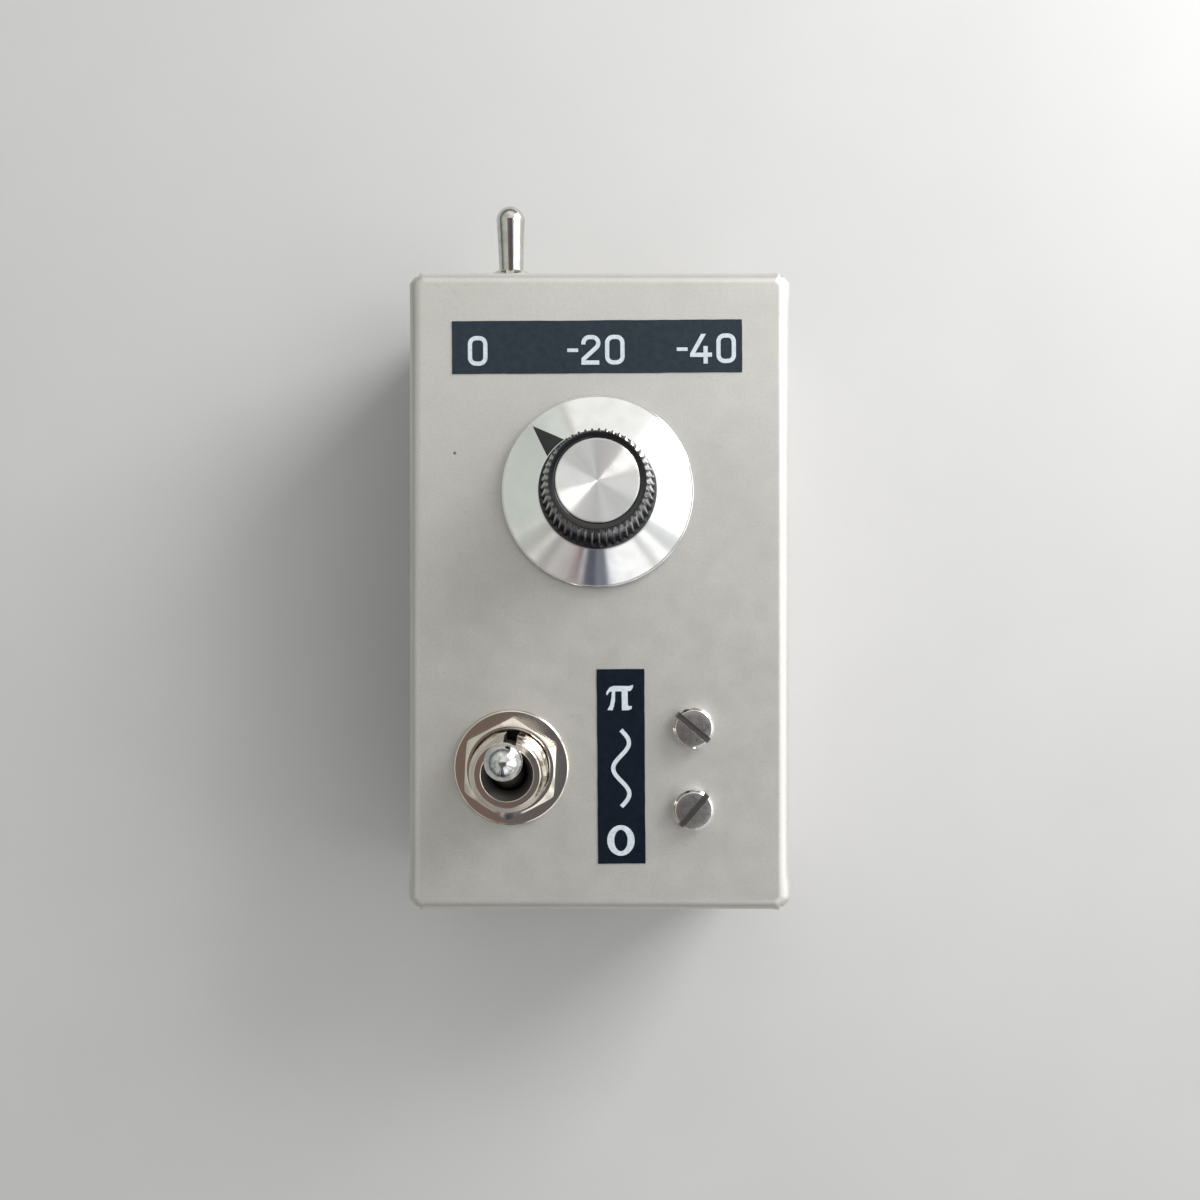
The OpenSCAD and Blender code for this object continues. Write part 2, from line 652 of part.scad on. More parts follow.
module socket_contacts() color([0.83, 0.78, 0.6]) at_sockets()
    for (side = [-1, 1])
        translate([side * lug_offset, 0, 0]) difference() {
            translate([-0.25, -1.1, -socket_lug_end]) cube([0.5, 2.2, socket_lug_end - 7]);
            translate([0, 0, -socket_lug_end + 1]) rotate([0, 90, 0])
                cylinder(r = 0.5, h = 3, center = true);
        }

// ---------------------------------------------------------------- circuit board

slot_angles = [49, -40];    // how each board screw's slot ended up

module board_screws() color([0.72, 0.71, 0.69])
    for (i = [0, 1]) {
        y = board_screw_y + (i - 0.5) * board_screw_pitch;
        r = board_screw_head_r;
        translate([board_screw_x, y, case_h]) difference() {
            rotate_extrude() polygon(concat(
                [[0, -sheet - spacer_l - board_t - nut_t - 0.6],
                 [board_screw_r, -sheet - spacer_l - board_t - nut_t - 0.6],
                 [board_screw_r, 0], [r, 0], [r, 1.5]],
                arc([r - 0.7, 1.7], 0.7, 0, 70, 6), [[0, 2.5]]));
            rotate(slot_angles[i]) translate([-r - 1, -0.65, 1.1]) cube([2 * r + 2, 1.3, 3]);
        }
    }

module board_spacers() color([0.88, 0.87, 0.83]) at_board_screws()
    translate([0, 0, case_h - sheet - spacer_l]) ring(3, board_screw_r + gap, 0, spacer_l);

module board_nuts() color([0.75, 0.74, 0.7]) at_board_screws()
    translate([0, 0, board_z - nut_t]) hex_nut(6, board_screw_r + gap, 0, nut_t);

module circuit_board() color([0.12, 0.32, 0.2]) difference() {
    translate([board_pos[0] - board_size[0] / 2, board_pos[1] - board_size[1] / 2, board_z])
        cube([board_size[0], board_size[1], board_t]);
    translate([0, 0, board_z - 1]) at_board_screws()
        cylinder(r = board_screw_r + gap, h = board_t + 2);
}

toroid_r = [3.2, 5.2];
toroid_h = 4.2;
winding_t = 0.5;
winding_turns = 14;
toroid_top = board_z - 1.2 * winding_t;

module toroid_core() color([0.25, 0.25, 0.27])
    translate([toroid_pos[0], toroid_pos[1], toroid_top - toroid_h])
        ring(toroid_r[1], toroid_r[0], 0, toroid_h);

// Each turn of the winding is one closed rectangular loop round the core.
module toroid_winding() color([0.72, 0.36, 0.16])
    translate([toroid_pos[0], toroid_pos[1], toroid_top - toroid_h / 2])
        for (i = [0 : winding_turns - 1])
            rotate(i * 360 / winding_turns) translate([(toroid_r[0] + toroid_r[1]) / 2, 0, 0])
                rotate([90, 0, 0]) linear_extrude(winding_t, center = true) difference() {
                    square([toroid_r[1] - toroid_r[0] + 2.4 * winding_t,
                            toroid_h + 2.4 * winding_t], center = true);
                    square([toroid_r[1] - toroid_r[0] + 0.3, toroid_h + 0.1], center = true);
                }

module attenuator_resistors() color([0.7, 0.6, 0.42])
    for (i = [0 : 3]) {
        x = board_pos[0] + 7.6 + (i % 2) * 3.8;
        y = board_pos[1] + (i < 2 ? -6 : 6);
        translate([x, y, board_z - 1.5]) {
            rotate([90, 0, 0]) cylinder(r = 1.15, h = 6, center = true);
            for (side = [-1, 1]) {
                translate([0, side * 3.7, 0]) rotate([90, 0, 0])
                    cylinder(r = 0.25, h = 1.5, center = true);
                translate([0, side * 4.3, 0]) cylinder(r = 0.25, h = 1.5);
            }
        }
    }

// ---------------------------------------------------------------- wiring

input_lug = [input_x, -case_l / 2 + socket_lug_end - 1, socket_z];
output_lug = [output_x, case_l / 2 - socket_lug_end + 1, socket_z];
phase_lug_z = case_h + case_floor(PHASE) - 5;
selector_lug_z = case_h + housing_back - wafer_t - 4;

// Where a selector lug is, by its number round the ring.
function lug_at(i) = [selector_x + lug_ring_r * cos(i * 30 + 15),
                      selector_y + lug_ring_r * sin(i * 30 + 15), selector_lug_z];
// Where a phase toggle terminal is: pole -1 or 1, throw -1, 0 or 1.
function phase_lug(pole, side) =
    let (x = pole * pole_x(PHASE), y = side * throw_y(PHASE),
         c = cos(phase_turn), s = sin(phase_turn))
    [phase_x + x * c - y * s, phase_y + x * s + y * c, phase_lug_z];
end_lug_y = case_l / 2 + case_floor(END) - 3.6;

wire_r = 0.55;
module signal_wires() color([0.62, 0.08, 0.06]) {
    // input socket to the board
    tube(smooth([input_lug + [lug_offset, 0, 0], input_lug + [lug_offset + 1, 3, 2],
                 [13, -15, 17], [19.5, -17, 22], [21.5, -16.2, board_z]]), wire_r);
    // board to the phase toggle
    tube(smooth([[-1, -17, board_z], [-1.5, -15.5, 24], [-3, -14.5, 17],
                 phase_lug(1, 1) + [3, 3.5, -3], phase_lug(1, 1) + [0, 0.8, 0]]), wire_r);
    // phase toggle to the selector
    tube(smooth([phase_lug(1, 0) + [0, 0.8, 0], phase_lug(1, 0) + [1.5, 4, -5],
                 [-7, -13, 10.5], [-6, 0, 12], lug_at(8) + [0, -1.2, -3.5], lug_at(8)]), wire_r);
    // selector to the attenuator on the board
    tube(smooth([lug_at(10), lug_at(10) + [1, -2, -3], [13, 0, 16], [16, -8, 20],
                 [16, -14, 25], [15.5, -16.5, board_z]]), wire_r);
    // selector to the output socket
    tube(smooth([lug_at(0), lug_at(0) + [1.5, -2, -2.5], [14.5, 12.5, 14],
                 output_lug + [lug_offset, 0, 0]]), wire_r);
}

module ground_wires() color([0.05, 0.05, 0.06]) {
    // input socket to the end toggle
    tube(smooth([input_lug + [-lug_offset, 0, 0], input_lug + [-lug_offset - 1, 3, -5],
                 [-11, -8, 4.5], [-20, 10, 5], [-20, 26, 7],
                 [end_x, end_lug_y - 4, end_z - 8],
                 [end_x, end_lug_y, end_z - throw_y(END)]]), wire_r);
    // end toggle to the output socket
    tube(smooth([output_lug + [-lug_offset, 0, 0], output_lug + [-lug_offset - 2, -3, -4],
                 [-2, 22, 8], [end_x + 3, end_lug_y - 6, end_z - 3],
                 [end_x, end_lug_y, end_z]]), wire_r);
}

// ---------------------------------------------------------------- nodes

case_shell();
base_cover();
cover_screws();
scale_label();
phase_label();
selector_housing();
selector_lock_washer();
selector_nut();
selector_wafer();
selector_lugs();
selector_shaft();
selector_rotor();
selector_wipers();
detent_balls();
detent_springs();
knob_body();
knob_skirt();
knob_cap();
knob_insert();
knob_set_screw();
at_phase() toggle_bushing(PHASE);  // phase_bushing
at_phase() toggle_flat_washer(PHASE, 9.1);  // phase_flat_washer
at_phase() toggle_nut(PHASE, 14, 30);  // phase_nut
at_phase() toggle_lock_washer(PHASE);  // phase_lock_washer
at_phase() toggle_frame(PHASE);  // phase_frame
at_phase() toggle_body(PHASE);  // phase_switch_body
at_phase() toggle_terminals(PHASE);  // phase_terminals
at_phase() toggle_pin(PHASE);  // phase_pivot_pin
at_phase() toggle_lever(PHASE);  // phase_lever
at_phase() toggle_plunger(PHASE);  // phase_plunger
at_phase() toggle_plunger_spring(PHASE);  // phase_plunger_spring
at_phase() toggle_rockers(PHASE);  // phase_rockers
at_end() toggle_bushing(END);  // end_bushing
at_end() toggle_flat_washer(END, 6.2);  // end_flat_washer
at_end() toggle_nut(END, 10, 0);  // end_nut
at_end() toggle_lock_washer(END);  // end_lock_washer
at_end() toggle_frame(END);  // end_frame
at_end() toggle_body(END);  // end_switch_body
at_end() toggle_terminals(END);  // end_terminals
at_end() toggle_pin(END);  // end_pivot_pin
at_end() toggle_lever(END);  // end_lever
at_end() toggle_plunger(END);  // end_plunger
at_end() toggle_plunger_spring(END);  // end_plunger_spring
at_end() toggle_rockers(END);  // end_rocker
at_input() socket_bushing();  // input_socket_bushing
at_input() socket_body();  // input_socket_body
at_output() socket_bushing();  // output_socket_bushing
at_output() socket_body();  // output_socket_body
socket_washers();
socket_nuts();
socket_contacts();
board_screws();
board_spacers();
board_nuts();
circuit_board();
toroid_core();
toroid_winding();
attenuator_resistors();
signal_wires();
ground_wires();
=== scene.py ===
"""The looks of the attenuator and phase switch box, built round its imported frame.

Meshes are drawn in millimetres, each in the local frame of the control it belongs to,
with local Z pointing out of the panel that the control is fixed in.
"""
import json
import math
import random

import bmesh
import bpy
from mathutils import Matrix, Vector


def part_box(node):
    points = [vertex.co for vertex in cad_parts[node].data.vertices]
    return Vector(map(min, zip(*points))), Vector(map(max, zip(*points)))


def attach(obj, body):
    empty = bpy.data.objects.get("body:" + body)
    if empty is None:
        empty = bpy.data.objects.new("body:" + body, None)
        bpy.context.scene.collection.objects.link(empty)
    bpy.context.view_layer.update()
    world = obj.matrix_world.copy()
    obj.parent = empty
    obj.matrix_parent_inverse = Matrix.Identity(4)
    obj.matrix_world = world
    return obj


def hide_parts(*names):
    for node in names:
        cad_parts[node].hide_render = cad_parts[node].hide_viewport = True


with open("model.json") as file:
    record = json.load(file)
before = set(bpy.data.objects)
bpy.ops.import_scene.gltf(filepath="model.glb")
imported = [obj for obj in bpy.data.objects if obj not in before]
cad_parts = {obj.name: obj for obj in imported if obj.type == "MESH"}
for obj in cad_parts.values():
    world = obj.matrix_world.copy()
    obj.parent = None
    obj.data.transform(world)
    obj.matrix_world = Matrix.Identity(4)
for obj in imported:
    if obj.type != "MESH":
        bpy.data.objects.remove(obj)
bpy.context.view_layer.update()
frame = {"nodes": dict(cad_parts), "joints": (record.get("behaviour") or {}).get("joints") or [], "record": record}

MM = 0.001
TURN = 2 * math.pi

# ------------------------------------------------------------------ reading the frame

record = frame["record"]
joints = {joint["name"]: joint for joint in frame["joints"]}
slot_of = {part["node"]: part["material_slot"] for part in record["subparts"]}
body_of = {node: body for body, nodes in record["behaviour"]["bodies"].items() for node in nodes}
mounts = {mount["name"]: mount for mount in record["mounts"]}


def span(name, axis):
    """Where a CAD node begins and ends along axis 0, 1 or 2, in millimetres."""
    low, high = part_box(name)
    return low[axis] / MM, high[axis] / MM


def middle(name):
    """The middle of a CAD node's box, in metres."""
    low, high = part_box(name)
    return (low + high) / 2


CASE_W = span("case_shell", 0)[1] - span("case_shell", 0)[0]
CASE_L = span("case_shell", 1)[1] - span("case_shell", 1)[0]
CASE_LOW, FACE = span("case_shell", 2)
SHEET = CASE_LOW        # the base cover is as thick as the shell


def standing(x, y, z, up, right):
    """The local frame at a point, from its Z and X directions."""
    up, right = Vector(up).normalized(), Vector(right).normalized()
    axes = Matrix((right, up.cross(right), up)).transposed().to_4x4()
    return Matrix.Translation((x, y, z)) @ axes


def on_face(x, y, turn=0.0):
    """The local frame at a point of the face, in metres."""
    return standing(x, y, FACE * MM, (0, 0, 1), (math.cos(turn), math.sin(turn), 0))


def socket_place(name):
    """The local frame of a plug socket, where its axis meets its end wall."""
    x, y, z = mounts[name]["pos_m"]
    out = mounts[name]["axis"][1]
    return standing(x, math.copysign(CASE_L / 2 * MM, out), z, (0, out, 0), (-out, 0, 0))


selector_x, selector_y, _ = joints["selector_turn"]["pos_m"]
phase_x, phase_y, phase_pivot = joints["phase_throw"]["pos_m"]
end_x, end_pivot, end_z = joints["end_throw"]["pos_m"]
phase_turn = math.atan2(joints["phase_throw"]["axis"][1], joints["phase_throw"]["axis"][0])

SELECTOR = on_face(selector_x, selector_y)
PHASE = on_face(phase_x, phase_y, phase_turn)
END = standing(end_x, CASE_L / 2 * MM, end_z, (0, 1, 0), (-1, 0, 0))
INPUT = socket_place("input_socket")
OUTPUT = socket_place("output_socket")

# ------------------------------------------------------------------ materials


def socket_name(word):
    """A shader input's name, from a keyword such as base_color or specular_ior_level."""
    return word.replace("_", " ").title().replace("Ior", "IOR")


def new_material(name, color, **sockets):
    """A Principled material. Sockets that are the same all over are set here."""
    made = bpy.data.materials.new(name)
    made.use_nodes = True
    shader = made.node_tree.nodes["Principled BSDF"]
    shader.inputs["Base Color"].default_value = (*color, 1)
    for socket, value in sockets.items():
        shader.inputs[socket_name(socket)].default_value = value
    return made, made.node_tree, shader


def node(tree, kind, inputs=None, **settings):
    """A shader node with its settings, and its inputs given as values or as sockets."""
    made = tree.nodes.new(kind)
    for key, value in settings.items():
        setattr(made, key, value)
    for key, value in (inputs or {}).items():
        if isinstance(value, bpy.types.NodeSocket):
            tree.links.new(value, made.inputs[key])
        else:
            made.inputs[key].default_value = value
    return made


def place_in(tree, stretch=(1, 1, 1)):
    """The piece's own coordinates in millimetres, squeezed along each axis by stretch."""
    coords = node(tree, "ShaderNodeTexCoord").outputs["Object"]
    scale = tuple(1 / (MM * s) for s in stretch)
    return node(tree, "ShaderNodeMapping", {"Vector": coords, "Scale": scale}).outputs["Vector"]


def grain(tree, size, detail=3.0, stretch=(1, 1, 1), roughness=0.55):
    """Noise whose features are about size millimetres across."""
    made = node(tree, "ShaderNodeTexNoise",
                {"Vector": place_in(tree, stretch), "Scale": 1 / size, "Detail": detail,
                 "Roughness": roughness})
    return made.outputs["Fac"]


def remap(tree, value, low, high, out_low=0.0, out_high=1.0):
    made = node(tree, "ShaderNodeMapRange",
                {"Value": value, "From Min": low, "From Max": high,
                 "To Min": out_low, "To Max": out_high})
    return made.outputs["Result"]


def mix(tree, amount, first, second):
    """Colour mix. Colours are triples or sockets."""
    made = node(tree, "ShaderNodeMix", data_type="RGBA")
    for key, value in ((0, amount), (6, first), (7, second)):
        if isinstance(value, bpy.types.NodeSocket):
            tree.links.new(value, made.inputs[key])
        elif key:
            made.inputs[key].default_value = (*value, 1)
        else:
            made.inputs[key].default_value = value
    return made.outputs[2]


def calculate(tree, operation, *values):
    made = node(tree, "ShaderNodeMath", dict(enumerate(values)), operation=operation)
    return made.outputs["Value"]


def relief(tree, height, depth, under=None):
    """A bump of depth millimetres, on top of the normal under it."""
    inputs = {"Height": height, "Distance": depth * MM, "Strength": 1.0}
    if under is not None:
        inputs["Normal"] = under
    return node(tree, "ShaderNodeBump", inputs).outputs["Normal"]


def wire_up(tree, shader, **outputs):
    for socket, value in outputs.items():
        tree.links.new(value, shader.inputs[socket_name(socket)])


def case_paint():
    """Satin paint over sheet metal: soft mottling, a fine speckle, dark specks and faint scuffs."""
    made, tree, shader = new_material("case_paint", (0.55, 0.54, 0.52), metallic=0.6,
                                      coat_weight=0.25, coat_roughness=0.16)
    broad = grain(tree, 14, 4)
    fine = grain(tree, 0.28, 2)
    base = mix(tree, remap(tree, broad, 0.3, 0.7), (0.585, 0.575, 0.545), (0.620, 0.611, 0.583))
    base = mix(tree, remap(tree, fine, 0.35, 0.65, 0.0, 0.35), base, (0.48, 0.47, 0.445))
    cells = node(tree, "ShaderNodeTexVoronoi",
                 {"Vector": place_in(tree), "Scale": 1 / 7.5, "Randomness": 1.0})
    near = remap(tree, cells.outputs["Distance"], 0.022, 0.042, 1.0, 0.0)
    chosen = node(tree, "ShaderNodeSeparateColor", {"Color": cells.outputs["Color"]}).outputs["Red"]
    speck = calculate(tree, "MULTIPLY", near, remap(tree, chosen, 0.7, 0.74))
    lines = remap(tree, grain(tree, 0.11, 1, (14, 1, 1)), 0.70, 0.76)
    scuffed = remap(tree, grain(tree, 9, 1), 0.56, 0.66, 0.0, 0.5)
    scuff = calculate(tree, "MULTIPLY", lines, scuffed)
    base = mix(tree, speck, base, (0.14, 0.13, 0.12))
    base = mix(tree, scuff, base, (0.22, 0.21, 0.20))
    rough = remap(tree, grain(tree, 3.5, 5), 0.3, 0.7, 0.35, 0.41)
    under = relief(tree, grain(tree, 9, 2), 0.028)
    wire_up(tree, shader, base_color=base, roughness=rough,
            normal=relief(tree, fine, 0.006, under))
    return made


def metal(name, color, roughness, smudge=0.06, lay=(1, 1, 1), lay_depth=0.0008, tint=None,
          wear=0.6, patch=2.2, over=()):
    """Bare or plated metal with handling marks and a fine grain, which lay stretches into lines.
    over holds layers of dirt, polish and painted shade: a function that builds a mask, a colour, a roughness."""
    made, tree, shader = new_material(name, color, metallic=1.0)
    marks = grain(tree, patch, 6, roughness=0.65)
    shade = tint or tuple(c * 0.82 for c in color)
    base = mix(tree, remap(tree, marks, 0.42, 0.75, 0.0, wear), color, shade)
    rough = remap(tree, marks, 0.3, 0.75, max(roughness - smudge / 2, 0.02), roughness + smudge)
    for build_mask, layer_color, layer_roughness in over:
        mask = build_mask(tree)
        base = mix(tree, mask, base, layer_color)
        rough = remap(tree, mask, 0, 1, rough, layer_roughness)
    lines = grain(tree, 0.12, 2, lay)
    wire_up(tree, shader, base_color=base, roughness=rough,
            normal=relief(tree, lines, lay_depth))
    return made


def distance(tree, flat=False):
    """Millimetres from the piece's origin, or from its Z axis if flat."""
    coords = place_in(tree, (1, 1, 1e6) if flat else (1, 1, 1))
    return node(tree, "ShaderNodeVectorMath", {0: coords}, operation="LENGTH").outputs["Value"]


# The masks below each return a function that builds a 0 to 1 mask in a material's tree.


def near_pivot(radius):
    return lambda tree: remap(tree, distance(tree), radius, radius + 0.5, 1.0, 0.0)


def inside_bore(radius, soft=0.12):
    return lambda tree: remap(tree, distance(tree, flat=True), radius, radius + soft, 1.0, 0.0)


def at_rim(radius):
    return lambda tree: remap(tree, distance(tree, flat=True), radius, radius + 0.06)


def in_keyway(half_width, floor):
    """The walls of a slot cut down a bushing's +Y side, from floor outwards."""
    def build(tree):
        parts = node(tree, "ShaderNodeSeparateXYZ", {"Vector": place_in(tree)}).outputs
        across = calculate(tree, "ABSOLUTE", parts["X"])
        between = remap(tree, across, half_width + 0.02, half_width + 0.05, 1.0, 0.0)
        outside = remap(tree, parts["Y"], floor - 0.05, floor - 0.02)
        return calculate(tree, "MULTIPLY", between, outside)
    return build


def in_slot(half_width, top):
    """The floor of a slot cut along the piece's X axis, whose edges are at height top."""
    def build(tree):
        parts = node(tree, "ShaderNodeSeparateXYZ", {"Vector": place_in(tree)}).outputs
        across = calculate(tree, "ABSOLUTE", parts["Y"])
        between = remap(tree, across, half_width - 0.04, half_width + 0.02, 1.0, 0.0)
        below = remap(tree, parts["Z"], top - 0.35, top - 0.1, 1.0, 0.0)
        return calculate(tree, "MULTIPLY", between, below)
    return build


def spun_aluminium(name, roughness):
    """Aluminium polished on a spindle: its fine rings draw every reflection out radially."""
    made, tree, shader = new_material(name, (0.90, 0.90, 0.895), metallic=1.0,
                                      anisotropic=1.0, anisotropic_rotation=0.25)
    rings = node(tree, "ShaderNodeTexNoise",
                 {"W": distance(tree, flat=True), "Scale": 1 / 0.09, "Detail": 3.0},
                 noise_dimensions="1D").outputs["Fac"]
    stains = grain(tree, 2.6, 5)
    base = mix(tree, remap(tree, rings, 0.3, 0.7), (0.86, 0.86, 0.855), (0.93, 0.93, 0.925))
    rough = remap(tree, stains, 0.3, 0.75, roughness - 0.03, roughness + 0.05)
    tangent = node(tree, "ShaderNodeTangent", direction_type="RADIAL", axis="Z")
    wire_up(tree, shader, base_color=base, roughness=rough, tangent=tangent.outputs[0],
            normal=relief(tree, rings, 0.0010))
    return made


def plastic(name, color, roughness, texture=0.4, depth=0.004, wear=0.25, **sockets):
    """Moulded plastic or laminate: fine texture, with slightly paler, rougher patches."""
    made, tree, shader = new_material(name, color, **sockets)
    patches = grain(tree, 3.0, 5)
    paler = tuple(min(c * (1 + wear) + 0.004, 1.0) for c in color)
    base = mix(tree, remap(tree, patches, 0.4, 0.75), color, paler)
    rough = remap(tree, patches, 0.3, 0.75, roughness, roughness + 0.12)
    wire_up(tree, shader, base_color=base, roughness=rough,
            normal=relief(tree, grain(tree, texture, 3), depth))
    return made


def film(name, color, paler):
    """Printed label tape: cloudy ink under a satin laminate with a faint weave."""
    made, tree, shader = new_material(name, color, specular_ior_level=0.16)
    cloudy = grain(tree, 1.1, 5, roughness=0.7)
    base = mix(tree, remap(tree, cloudy, 0.35, 0.8), color, paler)
    rough = remap(tree, cloudy, 0.3, 0.8, 0.38, 0.52)
    weave = grain(tree, 0.35, 1, (1, 0.25, 1))
    wire_up(tree, shader, base_color=base, roughness=rough, normal=relief(tree, weave, 0.006))
    return made


def board_laminate():
    """Green mask over tracks, drawn by a wave across the board."""
    made, tree, shader = new_material("circuit_laminate", (0.02, 0.10, 0.045))
    wave = node(tree, "ShaderNodeTexWave",
                {"Vector": place_in(tree), "Scale": 0.18, "Distortion": 3.0, "Detail": 1.0},
                bands_direction="DIAGONAL")
    tracks = remap(tree, wave.outputs["Fac"], 0.55, 0.62)
    base = mix(tree, tracks, (0.012, 0.07, 0.03), (0.03, 0.16, 0.07))
    rough = remap(tree, grain(tree, 2, 4), 0.3, 0.7, 0.22, 0.34)
    wire_up(tree, shader, base_color=base, roughness=rough, normal=relief(tree, tracks, 0.03))
    return made


def lathe_turned(name, color, roughness):
    """A turned part's fine lines run round the axis, so they are short along Z."""
    return metal(name, color, roughness, lay=(30, 30, 0.5))


def ink(name, color, worn_color, patch, roughness):
    """Printed ink that is worn in patches, with its roughness where fresh and where worn."""
    made, tree, shader = new_material(name, color)
    worn = grain(tree, patch, 4)
    wire_up(tree, shader, base_color=mix(tree, remap(tree, worn, 0.3, 0.8), color, worn_color),
            roughness=remap(tree, worn, 0.3, 0.8, *roughness))
    return made


# colour, roughness and how much handling roughens it
NICKEL = ((0.74, 0.685, 0.61), 0.12, 0.10)
CHROME = ((0.76, 0.76, 0.75), 0.08, 0.12)
# Dark grease together with painted shade, for a lever's ball and the throat of a bushing's bore; on a keyway's
# walls it is painted shade alone.
GREASE_AND_SHADE = (0.075, 0.068, 0.062)
# Painted shade: the grey that darkens the wall of a bushing's bore.
BORE_SHADE = (0.50, 0.48, 0.46)
MATERIALS = {
    "case_paint": case_paint(),
    "scale_film": film("scale_film", (0.017, 0.026, 0.036), (0.027, 0.038, 0.052)),
    "phase_film": film("phase_film", (0.001, 0.005, 0.013), (0.004, 0.009, 0.018)),
    "black_plastic": plastic("black_plastic", (0.006, 0.006, 0.008), 0.10, 0.5, 0.0015,
                             specular_ior_level=0.65),
    "spun_aluminium": spun_aluminium("spun_aluminium", 0.19),
    "nickel": metal("nickel", *NICKEL, tint=(0.62, 0.55, 0.47)),
    "chrome": metal("chrome", *CHROME),
    "plated_steel": metal("plated_steel", (0.62, 0.62, 0.61), 0.32, lay=(1, 12, 1)),
    "bright_steel": lathe_turned("bright_steel", (0.70, 0.70, 0.72), 0.2),
    "dark_steel": metal("dark_steel", (0.10, 0.10, 0.11), 0.38),
    "spring_steel": metal("spring_steel", (0.50, 0.50, 0.52), 0.3),
    "tinned_brass": metal("tinned_brass", (0.74, 0.71, 0.64), 0.3),
    "spring_bronze": metal("spring_bronze", (0.72, 0.50, 0.24), 0.28, lay=(12, 1, 1)),
    "raw_brass": lathe_turned("raw_brass", (0.72, 0.55, 0.25), 0.25),
    "nylon": plastic("nylon", (0.80, 0.78, 0.72), 0.45, subsurface_weight=0.15),
    "dark_phenolic": plastic("dark_phenolic", (0.025, 0.025, 0.028), 0.5, 0.25, 0.01),
    "brown_phenolic": plastic("brown_phenolic", (0.22, 0.12, 0.055), 0.5, 0.2, 0.01, 0.6),
    "red_phenolic": plastic("red_phenolic", (0.16, 0.025, 0.015), 0.42, 0.25, 0.008),
    "circuit_laminate": board_laminate(),
    "ferrite": plastic("ferrite", (0.05, 0.05, 0.055), 0.6, 0.3, 0.02),
    "enamelled_copper": metal("enamelled_copper", (0.55, 0.20, 0.06), 0.22),
    "resistor_body": plastic("resistor_body", (0.55, 0.42, 0.22), 0.4, 0.6, 0.01),
    "red_insulation": plastic("red_insulation", (0.45, 0.02, 0.015), 0.35),
    "black_insulation": plastic("black_insulation", (0.012, 0.012, 0.013), 0.35),
}
LABEL_INK = ink("label_ink", (0.61, 0.67, 0.73), (0.42, 0.48, 0.53), 0.5, (0.42, 0.55))
POINTER_INK = ink("pointer_ink", (0.008, 0.008, 0.009), (0.022, 0.022, 0.024), 0.6, (0.28, 0.42))
CAP_FINISH = spun_aluminium("spun_cap", 0.30)
SCREW_R = 3.22          # of the board screws' heads
SCREW_TOP = 2.45
SCREW_SLOT = 0.48       # half the width of their slots
# The screws' rims are worn bright, and the insides of their slots are painted dark as painted shade.
SCREW_FINISH = metal("worn_plating", (0.60, 0.57, 0.545), 0.22, 0.16, tint=(0.27, 0.25, 0.235),
                     wear=0.9, patch=1.1, lay=(1, 9, 1), lay_depth=0.006,
                     over=[(at_rim(SCREW_R - 0.48), (0.86, 0.85, 0.83), 0.16),
                           (in_slot(SCREW_SLOT, SCREW_TOP), (0.17, 0.16, 0.155), 0.42)])

# ------------------------------------------------------------------ mesh tools

WORLD = Matrix.Identity(4)
SHARP = 32              # degrees above which an edge is left sharp
CORNERS = ((1, 1), (-1, 1), (-1, -1), (1, -1))      # signs of x and y, going round


def offset(x, y, z):
    """A place in millimetres, without a turn."""
    return Matrix.Translation(Vector((x, y, z)) * MM)


def heading(angle):
    return Vector((math.cos(angle), math.sin(angle)))


def new_object(name, data):
    made = bpy.data.objects.new(name, data)
    bpy.context.scene.collection.objects.link(made)
    return made


def shaded(mesh, sharp=SHARP):
    """Smooth shading between faces that meet at a small angle."""
    mesh.polygons.foreach_set("use_smooth", [True] * len(mesh.polygons))
    mesh.set_sharp_from_angle(angle=math.radians(sharp))
    return mesh


def finish_mesh(mesh, sharp=SHARP):
    """Doubled points merged, all normals outwards, and shaded."""
    work = bmesh.new()
    work.from_mesh(mesh)
    bmesh.ops.remove_doubles(work, verts=work.verts, dist=1e-7)
    bmesh.ops.recalc_face_normals(work, faces=work.faces)
    work.to_mesh(mesh)
    work.free()
    return shaded(mesh, sharp)


def skin(verts, faces, sharp=SHARP):
    mesh = bpy.data.meshes.new("skin")
    mesh.from_pydata([Vector(v) * MM for v in verts], [], faces)
    return finish_mesh(mesh, sharp)


def revolve(rows, steps=128, loop=False):
    """A skin round Z. A row is (radius, height), or a function that gives them at an angle.
    A row of radius 0 is a point on the axis, and a loop joins its last row to its first."""
    verts, rings = [], []
    for row in rows:
        on_axis = not callable(row) and row[0] == 0
        ring = []
        for k in range(1 if on_axis else steps):
            angle = TURN * k / steps
            radius, height = row(angle) if callable(row) else row
            ring.append(len(verts))
            verts.append((radius * math.cos(angle), radius * math.sin(angle), height))
        rings.append(ring)
    faces = []
    for one, two in zip(rings, rings[1:] + (rings[:1] if loop else [])):
        for k in range(steps):
            after = (k + 1) % steps
            corners = [one[k % len(one)], one[after % len(one)],
                       two[after % len(two)], two[k % len(two)]]
            face = list(dict.fromkeys(corners))
            if len(face) > 2:
                faces.append(face)
    return verts, faces


def stacked(rings):
    """A closed skin through rings of points, which all have the same number of points."""
    count = len(rings[0])
    verts = [point for ring in rings for point in ring]
    last = len(verts) - count
    faces = [tuple(range(count)), tuple(range(last, len(verts)))]
    for low in range(0, last, count):
        high = low + count
        for k in range(count):
            after = (k + 1) % count
            faces.append((low + k, high + k, high + after, low + after))
    return skin(verts, faces)


